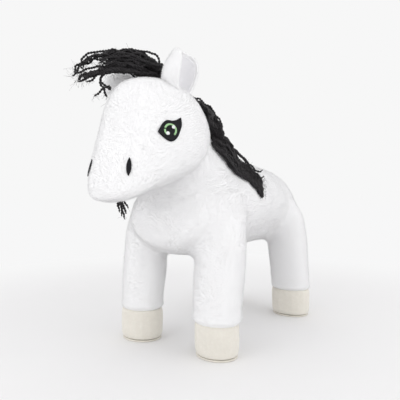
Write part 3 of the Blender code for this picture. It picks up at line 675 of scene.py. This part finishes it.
for side, where, comb in ((1, "left", (0.2, 0, -1)), (-1, "right", (0.7, 0, -0.5))):
    back = leaf_piece("ear_skin_" + where, ear_leaf(side, 0, 1, -0.10), ear_wall, plush)
    inner = ear_leaf(side, ear_inset, 0.93, -0.06)
    inner = leaf_piece("ear_inside_" + where, inner, ear_lining_wall, lining)
    cover = ramp(distances(points_of(back.data), inner, most=0.02), 0.0012, 0.0022)
    piled("pile_ear_" + where, back, "ear_" + where, cover, 41 + side, per_area=0.9e6, length=0.0016,
          radius=0.0002, lean=0.8, swirl=1.2, comb=comb)
    hand_over(back, "ear_" + where, "white_plush", "ear_back_" + where)
    hand_over(inner, "ear_" + where, "white_plush", "ear_lining_" + where)


# ------------------
# Hooves: short cuffs of cream suede cloth sewn to the ends of the legs and
# closed by flat oval soles, with a seam down the back of each.
suede = Finish("hoof_suede_cloth", Roughness=0.92, Sheen_Weight=0.3, Sheen_Roughness=0.45)
grain = suede.noise(260.0, 4.0, 0.6)
cloud = suede.noise(42.0, 3.0)
cream = suede.between((grain * 0.6 + cloud * 0.5).clamped(), (0.67, 0.635, 0.565), (0.83, 0.80, 0.735))
suede.drive(Base_Color=cream, Roughness=0.86 + grain * 0.12)
suede.bump(suede.noise(1100.0, 3.0) + 0.6 * suede.noise(240.0, 2.0), 0.6, 0.0007)

sole_cloth = Finish("sole_cloth", Roughness=0.93, Sheen_Weight=0.2)
sole_cloth.mottle(60.0, 4.0, (0.66, 0.625, 0.555), (0.80, 0.77, 0.70))
sole_cloth.bump(sole_cloth.noise(900.0, 3.0), 0.6, 0.0006)

hoof_around, hoof_rows = 96, 30
hoof_ray = 0.06
hoof_turn_in, hoof_tucked = 0.0024, 0.004
hoof_gap = 0.0001
hoof_girth = 0.145
back_seam_width, back_seam_depth = 0.0008, 0.0006
top_seam_width, top_seam_depth = 0.0016, 0.0009


def hoof_band(name, node, number):
    """The band's outer face on even rows, turned in at the top and closed over the sole."""
    solid = tree_of(node)
    low, high = (np.array(corner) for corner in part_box(node))
    middle, tall = (low + high) / 2, high[2] - low[2]
    levels = np.linspace(0.02, 0.98, hoof_rows)
    rows = np.zeros((hoof_rows, hoof_around, 3))
    for r, up in enumerate(levels):
        for k in range(hoof_around):
            way = Vector((cos(2 * pi * k / hoof_around), sin(2 * pi * k / hoof_around), 0))
            start = Vector((middle[0], middle[1], low[2] + tall * up)) + way * hoof_ray
            rows[r, k] = solid.ray_cast(start, -way, hoof_ray)[0]
    spots = rows.reshape(-1, 3)
    bulge = 0.0003 * lumps(spots, 0.018, 50 + number) + 0.00012 * lumps(spots, 0.005, 60 + number)
    away = (rows - middle) * (1, 1, 0)
    reach = np.linalg.norm(away, axis=2, keepdims=True)
    from_seam = ((np.arange(hoof_around) / hoof_around + 0.25) % 1 - 0.5) * hoof_girth
    seam = back_seam_depth * np.exp(-(from_seam / back_seam_width) ** 2)
    sunk = seam[None, :] * np.sin(pi * np.linspace(0, 1, hoof_rows))[:, None] ** 0.3
    sunk += top_seam_depth * np.exp(-(tall * (1 - levels) / top_seam_width) ** 2)[:, None]
    rows += away / reach * (bulge.reshape(hoof_rows, hoof_around) - sunk)[:, :, None]
    rims = []
    for end, height in ((0, low[2]), (-1, high[2])):
        rim = rows[end] - (rows[end] - middle) * (1, 1, 0) / reach[end] * hoof_turn_in
        rim[:, 2] = height - hoof_gap
        rims.append(rim)
    rings = [rims[0], *rows, rims[1], rims[1] - (0, 0, hoof_tucked)]
    faces = []
    for r in range(len(rings) - 1):
        for k in range(hoof_around):
            a, b = r * hoof_around + k, r * hoof_around + (k + 1) % hoof_around
            faces.append((a, b, b + hoof_around, a + hoof_around))
    faces.append(tuple(reversed(range(hoof_around))))
    faces.append(tuple(range((len(rings) - 1) * hoof_around, len(rings) * hoof_around)))
    return subdivided(from_lists(name, np.concatenate(rings), [], faces))


for number, leg in enumerate(leg_names):
    cuff = hoof_band("hoof_" + leg, "hoof_cover_" + leg, number)
    suede.on(cuff)
    sole = merged("sole_" + leg, ["hoof_sole_" + leg])
    remeshed(sole, 0.0009, 3)
    sole.data.shade_smooth()
    sole_cloth.on(sole)
    hand_over(cuff, "body", "hoof_suede", "hoof_cover_" + leg)
    hand_over(sole, "body", "sole_suede", "hoof_sole_" + leg)


# ------------------
# Stitching: eyes and nostrils are satin stitch in rayon thread, rows laid side
# by side through the plush, the green ring and white glints over the black.
thread_step, iris_step = 0.00040, 0.062
thread_radius = 0.00027
stitch_length = 0.0012
stitch_over, stitch_sunk = 0.00009, 0.0006
eye_lean = radians(8)


def thread_tree():
    """Sweeps a round thread along every path of loose edges."""
    made = Recipe("threads", ["Radius"])
    path = made.add("GeometryNodeMeshToCurve", {}, {0: made.given["Geometry"]})
    ring = made.add("GeometryNodeCurvePrimitiveCircle", {"mode": "RADIUS"},
                    {"Resolution": 6, "Radius": made.given["Radius"]})
    return made.finished(made.add("GeometryNodeCurveToMesh", {}, {
        "Curve": path, "Profile Curve": ring, "Fill Caps": True,
    }))


threads = thread_tree()


def paths_piece(name, paths):
    points, edges = [], []
    for path in paths:
        edges += [(k - 1, k) for k in range(len(points) + 1, len(points) + len(path))]
        points += list(path)
    return from_lists(name, points, edges, [])


def thread(name, colour, lighter):
    made = Finish(name, Roughness=0.42, Specular_IOR_Level=0.2)
    painted_sheen = made.noise(500.0, 2.0)
    # Where this noise is high the thread is drawn lighter, a painted sheen, and is also rougher.
    made.drive(Base_Color=made.between(painted_sheen, colour, lighter), Roughness=0.36 + painted_sheen * 0.2)
    made.bump(made.noise(2600.0, 1.0), 0.3, 0.0001)
    return made


black = thread("black_rayon", (0.006, 0.006, 0.008), (0.016, 0.015, 0.019))
green = thread("green_rayon", (0.31, 0.54, 0.27), (0.46, 0.71, 0.40))
white = thread("white_rayon", (0.78, 0.80, 0.80), (0.88, 0.89, 0.89))


def patch_frame(node):
    """The patch's middle, its outward direction, and the directions across and up it."""
    points = points_of(frame["nodes"][node].data)
    middle = points.mean(axis=0)
    outward = np.linalg.svd(points - middle, full_matrices=False)[2][2]
    if outward[0] * np.sign(middle[0]) - 0.4 * outward[1] < 0:
        outward = -outward
    up = np.array([0.0, 0.0, 1.0])
    across = np.cross(up, outward)
    across /= np.linalg.norm(across)
    return middle, outward, across, np.cross(outward, across)


def satin(node, slant=0.0, ring=None, step=thread_step, lift=0.0001):
    """Rows of thread over a patch: upright rows, or spokes round the ring's middle."""
    middle, outward, across, up = patch_frame(node)
    row_way = up * cos(slant) + across * sin(slant)
    step_way = across * cos(slant) - up * sin(slant)
    surface = tree_of(node)
    mesh = frame["nodes"][node].data
    flat = points_of(mesh) - middle
    faces = np.array([face.vertices[:] for face in mesh.polygons])
    u, v = flat @ step_way, flat @ row_way
    if ring is not None:
        cu, cv = (ring - middle) @ step_way, (ring - middle) @ row_way
        u, v = np.arctan2(v - cv, u - cu), np.hypot(u - cu, v - cv)
    places = np.arange(u.min() + step / 2, u.max(), step)
    # Faces across the jump from the angle's end to its start are left out.
    faces = faces[np.ptp(u[faces], axis=1) < 2]
    u, v = u[faces], v[faces]
    paths = []
    for place in places:
        crossings = []
        for a, b in ((0, 1), (1, 2), (2, 0)):
            ua, ub = u[:, a] - place, u[:, b] - place
            cut = ua * ub < 0
            share = ua[cut] / (ua[cut] - ub[cut])
            crossings += list(v[cut, a] * (1 - share) + v[cut, b] * share)
        if not crossings:
            continue
        low, high = min(crossings) - stitch_over, max(crossings) + stitch_over
        count = max(3, int((high - low) / stitch_length) + 2)
        path = []
        for k, run in enumerate(np.linspace(low, high, count)):
            if ring is None:
                spot = middle + step_way * place + row_way * run
            else:
                spot = middle + step_way * (cu + run * cos(place)) + row_way * (cv + run * sin(place))
            hit = surface.ray_cast(Vector(spot + outward * 0.01), Vector(-outward), 0.03)[0]
            if hit is None:
                hit = surface.find_nearest(Vector(spot))[0]
            depth = (np.array(hit) - spot) @ outward
            sunk = stitch_sunk if k in (0, count - 1) else 0
            path.append(spot + outward * (depth + lift - sunk))
        paths.append(path)
    return paths


def threaded(name, paths, radius, finish):
    return run_tree(paths_piece(name, paths), threads, {"Radius": radius, "Finish": finish.material})


def embroidered(name, node, finish, slot, **how):
    hand_over(threaded(name, satin(node, **how), thread_radius, finish), "head", slot, node)


for side, where in ((1, "left"), (-1, "right")):
    embroidered("eye_stitches_" + where, "eye_patch_" + where, black, "black_thread",
                slant=side * eye_lean)
    low, high = (np.array(corner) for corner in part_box("eye_iris_" + where))
    embroidered("iris_stitches_" + where, "eye_iris_" + where, green, "green_thread",
                ring=(low + high) / 2, step=iris_step, lift=0.0002)
    for glint in ("low", "high"):
        embroidered(f"glint_{glint}_stitches_{where}", f"eye_glint_{glint}_{where}", white,
                    "white_thread", slant=radians(90), lift=0.0003)
    embroidered("nostril_stitches_" + where, "nostril_" + where, black, "black_thread",
                slant=radians(90) - side * eye_lean)


# ------------------
# Yarn: forelock, mane and tail are lengths of black two-ply acrylic yarn, about
# three millimetres thick and still crimped from the ball it was wound on.
ply_radius, ply_apart = 0.0008, 0.85
yarn_pitch = 0.0062
yarn_crimp, crimp_scale = 0.0026, 110.0
yarn_step = 0.0014
yarn_taper, yarn_thin = 0.06, 0.45

yarn = Finish("black_acrylic_yarn", Roughness=0.62, Sheen_Weight=0.08, Sheen_Roughness=0.4)
depth = yarn.noise(160.0, 3.0)
yarn.drive(Base_Color=yarn.between(depth, (0.007, 0.006, 0.007), (0.022, 0.018, 0.021)),
           Roughness=0.5 + depth * 0.3)
yarn.bump(yarn.noise(1900.0, 3.0, 0.7), 0.9, 0.0004)


def yarn_tree():
    """Two plies twisted round every path, crimped, thinner at their ends."""
    made = Recipe("two_ply_yarn", ["Ply radius", "Pitch", "Step", "Crimp", "Crimp scale"])
    add, given = made.add, made.given
    path = add("GeometryNodeMeshToCurve", {}, {0: given["Geometry"]})
    path = add("GeometryNodeResampleCurve", {"mode": "LENGTH"}, {"Curve": path, "Length": given["Step"]})
    run = add("GeometryNodeSplineParameter", {}, {})
    shift = made.swirl(given["Crimp scale"], 1.0, given["Crimp"])
    path = add("GeometryNodeSetPosition", {}, {"Geometry": path, "Offset": shift})
    angle = run.also("Length") / given["Pitch"] * (2 * pi)
    path = add("GeometryNodeSetCurveTilt", {}, {"Curve": path, "Tilt": angle})
    taper = add("ShaderNodeMapRange", {}, {
        "Value": run.also("Factor").maths("PINGPONG", 0.5), "From Min": 0.0, "From Max": yarn_taper,
        "To Min": yarn_thin, "To Max": 1.0,
    })
    path = add("GeometryNodeSetCurveRadius", {}, {"Curve": path, "Radius": taper})
    ring = add("GeometryNodeCurvePrimitiveCircle", {"mode": "RADIUS"},
               {"Resolution": 5, "Radius": given["Ply radius"]})
    plies = []
    for side in (-ply_apart, ply_apart):
        aside = add("ShaderNodeCombineXYZ", {}, {0: given["Ply radius"] * side})
        plies.append(add("GeometryNodeTransform", {}, {"Geometry": ring, "Translation": aside}))
    return made.finished(add("GeometryNodeCurveToMesh", {}, {
        "Curve": path, "Profile Curve": add("GeometryNodeJoinGeometry", {}, {0: plies}),
        "Scale": add("GeometryNodeInputRadius", {}, {}), "Fill Caps": True,
    }))


two_ply = yarn_tree()


def yarn_piece(name, paths, rides, node, crimp=yarn_crimp):
    strands = paths_piece(name, paths)
    run_tree(strands, two_ply, {
        "Ply radius": ply_radius, "Pitch": yarn_pitch, "Step": yarn_step, "Crimp": crimp,
        "Crimp scale": crimp_scale, "Finish": yarn.material,
    })
    hand_over(strands, rides, "black_yarn", node)


def wavy(path, draw, size, length):
    """The path with a crimp of its own: three slow waves across it, fading in from its root."""
    path = np.array(path)
    run = np.concatenate([[0], np.cumsum(np.linalg.norm(np.diff(path, axis=0), axis=1))])
    for _ in range(3):
        way = draw.normal(size=3)
        way *= size * draw.uniform(0.4, 1.0) / np.linalg.norm(way)
        turns = 2 * pi * run / (length * draw.uniform(0.7, 1.5)) + draw.uniform(0, 2 * pi)
        path = path + np.sin(turns)[:, None] * way * np.minimum(run / 0.006, 1)[:, None]
    return path


def through(points, count):
    """A smooth path of count points through these."""
    points = np.array(points, float)
    padded = np.vstack([2 * points[0] - points[1], points, 2 * points[-1] - points[-2]])
    path = []
    for place in np.linspace(0, len(points) - 1, count):
        k = min(int(place), len(points) - 2)
        t = place - k
        a, b, c, d = padded[k:k + 4]
        path.append(0.5 * (2 * b + (c - a) * t + (2 * a - 5 * b + 4 * c - d) * t * t
                           + (3 * b - a - 3 * c + d) * t ** 3))
    return path


def loose(strands, draw, count=36):
    """Single strands through points in millimetres, crimped like the rest."""
    return [wavy(through(np.array(strand) / 1000, count), draw, 0.0006, 0.010) for strand in strands]


def laid_over(skin, solid, centre, turn, aside, deep, no_skin, slack):
    """A point turned back and aside from above centre, deep of the way from skin to solid."""
    far = 0.15
    ray = Vector((sin(aside), sin(turn) * cos(aside), cos(turn) * cos(aside)))
    on_skin, on_solid = (tree.ray_cast(centre + ray * far, -ray, far)[3] for tree in (skin, solid))
    inner = no_skin if on_skin is None else far - on_skin
    outer = inner + 0.004 if on_solid is None else far - on_solid
    reach = inner + 0.0014 + (max(outer, inner + 0.003) - inner - slack) * deep
    return np.array(centre + ray * reach)


# ------------------
# Mane: locks rooted in the seam along the crest and swept back down each side
# of the neck, with a few loose ends, and strands along the crest over the seam.
mane_front, mane_span = -0.0834, 0.122
mane_low, mane_rise = 0.160, 0.050
mane_stations = (0.0, 0.12, 0.28, 0.46, 0.66, 0.84, 1.0)
mane_rises = (1.0, 0.64, 0.34, 0.14, 0.06, 0.0, 0.0)
mane_crests = (1.0, 1.0, 0.85, 0.60, 0.36, 0.18, 0.04)
mane_falls = {
    1: (0.72, 0.70, 0.68, 0.70, 0.86, 0.84, 0.40),
    -1: (1.16, 1.20, 1.04, 0.80, 0.66, 0.50, 0.32),
}
mane_crest_lean, mane_widest = radians(47), radians(100)
crest_strands = 36
skin_tree = tree_of(body)


def mane_point(side, share, fall, deep, solid):
    """A point in the mane: share along the crest, fall down the side, deep from the skin outwards."""
    rise, lean, wide = (float(np.interp(share, mane_stations, table))
                        for table in (mane_rises, mane_crests, mane_falls[side]))
    centre = Vector((side * 0.003, mane_front + mane_span * share, mane_low + mane_rise * rise))
    aside = side * mane_widest * wide * fall
    return laid_over(skin_tree, solid, centre, mane_crest_lean * lean, aside, deep, 0.03, 0.0020)


def mane_locks(side, where, first, last, count, sweeps, seed, meet=0, front=0):
    """Strands that leave the crest between two shares of its length and are swept back.

    The first few, front, come from under the head, and where meet is given the long ones gather
    there. The last ones lie along the crest and hide the seam.
    """
    draw = np.random.default_rng(seed)
    solid = tree_of("mane_" + where)
    paths = []
    for k in range(count + crest_strands):
        a = first + (last - first) * (k + draw.uniform(0, 1)) / count
        fall = draw.uniform(0.80, 1.02)
        gathered = meet + draw.uniform(-0.06, 0.06) * 4 * (1.08 - fall) if meet else 0
        b = min(max(gathered, a + draw.uniform(*sweeps)), 0.99)
        root, deep = 0.31 * draw.uniform(0, 1) ** 2.2 - 0.03, 1 - draw.uniform(0, 1) ** 1.6
        if k < front:
            a, root = first, draw.uniform(0.1, 0.92)
            fall = max(fall, root + 0.04)
        if k >= count:
            a = first + draw.uniform(0, 0.95) * (last - first)
            b = a + draw.uniform(0.12, 0.24)
            root = draw.uniform(-0.06, 0.06)
            fall = root + draw.uniform(-0.02, 0.10)
        path = []
        for t in np.linspace(0, 1, 9):
            share = max(a + (b - a) * t ** 0.9, 0)
            down = root + (fall - root) * t
            path.append(mane_point(side, share, down, deep * (1 - 0.5 * t ** 4), solid))
        paths.append(wavy(through(path, 44), draw, 0.0010, 0.013))
    return paths


loose_left = [
    [(34, -42, 236), (43, -28, 226), (52, -13, 211), (58, -5, 202), (63, -2, 197), (67, 0, 195),
     (69, 2, 198)],
    [(36, -38, 232), (46, -24, 220), (54, -10, 206), (60, -5, 196), (64, -1, 190), (68, 1, 188),
     (70, 3, 190)],
    [(28, -56, 241), (36, -42, 235), (45, -26, 222), (52, -14, 210), (56, -7, 205)],
]
loose_right = [
    [(-40, -92, 205), (-56, -100, 190), (-64, -102, 172), (-63, -98, 158), (-60, -96, 146)],
    [(-42, -90, 204), (-58, -97, 188), (-66, -98, 170), (-69, -96, 156), (-68, -94, 148)],
    [(-40, -94, 204), (-55, -102, 188), (-61, -104, 170), (-57, -100, 158), (-54, -98, 149)],
    [(-42, -88, 203), (-60, -94, 186), (-68, -94, 172), (-72, -91, 160), (-74, -90, 152)],
    [(-41, -91, 205), (-57, -98, 190), (-62, -100, 172), (-62, -97, 154), (-59, -95, 141)],
    [(-40, -92, 204), (-58, -96, 188), (-65, -96, 170), (-65, -94, 154), (-67, -92, 143)],
    [(-42, -90, 203), (-56, -100, 186), (-58, -101, 170), (-60, -97, 157), (-57, -94, 147)],
    [(-41, -93, 204), (-54, -101, 188), (-59, -103, 171), (-54, -99, 160), (-52, -97, 153)],
]
left_locks = mane_locks(1, "left", -0.02, 0.56, 138, (0.10, 0.16), 71, 0.70, 44)
left_locks += loose(loose_left, np.random.default_rng(77))
yarn_piece("mane_locks_left", left_locks, "body", "mane_left")

right_locks = mane_locks(-1, "right", -0.02, 0.84, 130, (0.08, 0.30), 72, 0, 24)
right_locks += loose(loose_right, np.random.default_rng(78))
yarn_piece("mane_locks_right", right_locks, "body", "mane_right")


# ------------------
# Poll lock: the mane's highest lock, rooted in the head behind the ears. It turns
# with the head, hangs over the mane's first strands and falls past the left cheek.
poll_centre = Vector((0, -0.1154, 0.250))
poll_halves = (0.20, 0.32, 0.48, 0.68, 0.90, 1.0, 0.92)
poll_front, poll_sweep, poll_widest = radians(44), radians(47), radians(52)
poll_strands, poll_side_strands = 70, 44
poll_side = np.array([(12, -62, 279), (28, -56, 268), (39, -53, 255), (44, -50, 243), (45, -47, 233)]) / 1000
poll_solid = tree_of("mane_poll")
head_tree = tree_of(head)


def poll_point(back, aside, deep):
    """A point in the lock: back down the crest, aside to the left, deep from the skin outwards."""
    turn = poll_front + poll_sweep * back
    aside = poll_widest * along(poll_halves, back) * aside
    return laid_over(head_tree, poll_solid, poll_centre, turn, aside, deep, 0.05, 0.0016)


draw = np.random.default_rng(73)
paths = []
for _ in range(poll_strands):
    aside = draw.uniform(-1.05, 1.05)
    root = aside * 0.4 + draw.uniform(-0.1, 0.1)
    start, deep = draw.uniform(0, 0.35), 1 - draw.uniform(0, 1) ** 1.6
    path = []
    for t in np.linspace(0, 1, 8):
        back = start + (0.98 - start) * t
        path.append(poll_point(back, root + (aside - root) * t, deep * (0.7 + 0.3 * t)))
    fallen = draw.uniform(0.002, 0.012)
    path.append(path[-1] + fallen * np.array([0.45 * aside, 0.35, -0.85]))
    paths.append(wavy(through(path, 34), draw, 0.0009, 0.012))
for _ in range(poll_side_strands):
    under = draw.uniform(0, 1) * np.array([-0.012, -0.003, -0.002]) + draw.normal(size=3) * 0.0009
    paths.append(wavy(through(poll_side + under, 40)[draw.integers(0, 8):], draw, 0.0010, 0.012))
yarn_piece("mane_locks_poll", paths, "head", "mane_poll")


# ------------------
# Forelock: strands sewn along the crown seam, which stand up and flop forward
# over the right eye, with loose loops and curled ends of their own.
forelock_axis = np.array([
    (-2, -110, 289), (-4, -121, 304), (-20, -138, 308), (-40, -151, 305), (-57, -160, 298), (-66, -166, 287),
]) / 1000
forelock_half_width, forelock_half_height = 0.011, 0.012
forelock_strands = 64
loose_forelock = [
    [(8, -110, 290), (8, -111, 300), (6, -115, 313), (0, -120, 317), (-7, -125, 319), (-16, -131, 319)],
    [(6, -111, 290), (0, -117, 306), (-10, -127, 317), (-21, -136, 318), (-34, -143, 319),
     (-46, -150, 318), (-52, -156, 316), (-56, -161, 310), (-54, -164, 302), (-47, -166, 295)],
    [(2, -112, 290), (-5, -118, 305), (-11, -127, 313), (-26, -137, 316), (-39, -145, 316),
     (-50, -153, 314), (-55, -158, 309), (-52, -163, 299)],
    [(-8, -114, 290), (-12, -121, 303), (-22, -133, 307), (-33, -141, 304), (-44, -150, 303),
     (-49, -159, 299), (-54, -165, 295), (-60, -168, 296)],
    [(-12, -113, 289), (-19, -123, 300), (-30, -135, 303), (-37, -143, 298), (-45, -151, 295),
     (-49, -158, 291), (-54, -163, 292)],
    [(-14, -114, 288), (-25, -124, 299), (-31, -131, 298), (-36, -140, 298), (-42, -148, 295),
     (-46, -154, 290), (-52, -159, 285)],
    [(-36, -141, 299), (-43, -146, 293), (-45, -147, 288), (-43, -144, 281), (-40, -142, 271)],
    [(-38, -142, 298), (-45, -147, 290), (-36, -141, 279), (-38, -142, 283), (-43, -144, 280),
     (-48, -147, 276), (-52, -149, 272)],
]

draw = np.random.default_rng(74)
forelock_paths = []
for k in range(forelock_strands):
    angle, out = draw.uniform(0, 2 * pi), draw.uniform(0, 1) ** 0.5
    aside, above = out * cos(angle), out * sin(angle)
    root = np.array([0.014 * draw.uniform(-1, 1), 0.004 * draw.uniform(-1, 1), -0.002])
    reach = draw.uniform(0.38, 0.62) if k % 6 > 0 else draw.uniform(0.75, 1.0)
    if k % 6 == 0:
        above = (0.7 + 0.3 * abs(above)) * (1 if above > 0 else -1)
    root = forelock_axis[0] + root
    path = [root, root + (0, -0.0015, 0.005 + 0.014 * (above + 1) / 2)]
    for t in np.linspace(0.24, reach, 6):
        middle = np.array([along(side, t) for side in forelock_axis.T])
        away = np.array([0.5 * aside * forelock_half_width, -0.85 * aside * forelock_half_width,
                         above * forelock_half_height])
        path.append(middle + away * (1 - 0.45 * t ** 2))
    forelock_paths.append(wavy(through(path, 46), draw, 0.0016, 0.013))
forelock_paths += loose(loose_forelock, draw, 60)
yarn_piece("forelock_locks", forelock_paths, "forelock", "forelock")


# ------------------
# Frizz: fine single fibres of acrylic that have worked loose from the yarn and
# stand off the ends of its strands.
frizz_radius = 0.00007


def frizz(name, strands, ends, rides, count, reach, seed):
    """Fibres that start round these ends, points of each strand, and curl their own way."""
    draw = np.random.default_rng(seed)
    starts = [path[end] for path in strands for end in ends]
    hairs = []
    for _ in range(count):
        place = np.array(starts[draw.integers(len(starts))])
        way, bend = draw.normal(size=(2, 3))
        way, bend = way / np.linalg.norm(way), bend / np.linalg.norm(bend)
        long = reach * draw.uniform(0.4, 1.0)
        start = place + draw.normal(size=3) * 0.0012
        sag = bend * 0.6 - np.array([0, 0, 0.2])
        hairs.append([start + long * (way * t + sag * t * t) for t in np.linspace(0, 1, 5)])
    hand_over(threaded(name, hairs, frizz_radius, yarn), rides, "black_yarn")


frizz("forelock_frizz", forelock_paths, (-1, -3, -5), "forelock", 900, 0.008, 81)
frizz("mane_frizz_left", left_locks, (-1, -3, -8, -14, -20, 22), "body", 1300, 0.007, 82)
frizz("mane_frizz_right", right_locks, (-1, -3, -8, -14), "body", 700, 0.005, 83)


# ------------------
# Tail: one bundle of the same yarn, which hangs from a short dock on the rump.
# The dock is a core of strands with another wound round it.
tail_shares = (0.02, 0.12, 0.32, 0.56, 0.80, 1.0)
tail_backs = (0.35, 0.95, 1.35, 1.45, 1.3, 1.0)
tail_radii = (0.55, 0.85, 1.0, 1.05, 0.95, 0.55)
tail_height, tail_drop = 0.184, 0.096
tail_start, tail_back = 0.1626, 0.013
tail_radius = 0.0105
tail_strands = 44
dock_turns, dock_radius = 7, 0.0064
core_strands, core_radius = 7, 0.0035


def round_tail(radius, angle, y):
    return radius * cos(angle), y, tail_height + radius * sin(angle)


draw = np.random.default_rng(75)
paths = []
for _ in range(tail_strands):
    angle, out = draw.uniform(0, 2 * pi), draw.uniform(0.02, 1) ** 0.5
    path = []
    for share, back, radius in zip(tail_shares, tail_backs, tail_radii):
        size = (tail_radius * radius - 0.0013) * out
        turn = angle + 0.8 * share
        path.append((size * cos(turn), tail_start + tail_back * back + size * sin(turn),
                     tail_height - tail_drop * share))
    paths.append(through(path, 40))
yarn_piece("tail_locks", paths, "tail", "tail_yarn")

(_, dock_front, _), (_, dock_end, _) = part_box("tail_dock")
windings = np.linspace(dock_front + 0.001, dock_end - 0.001, dock_turns * 16 + 1)
paths = [[round_tail(dock_radius, 2 * pi * k / 16, y) for k, y in enumerate(windings)]]
for k in range(core_strands):
    paths.append([round_tail(core_radius, 2 * pi * k / core_strands, y)
                  for y in np.linspace(dock_front + 0.002, dock_end, 8)])
yarn_piece("dock_wrap", paths, "tail_root", "tail_dock", crimp=0.0002)
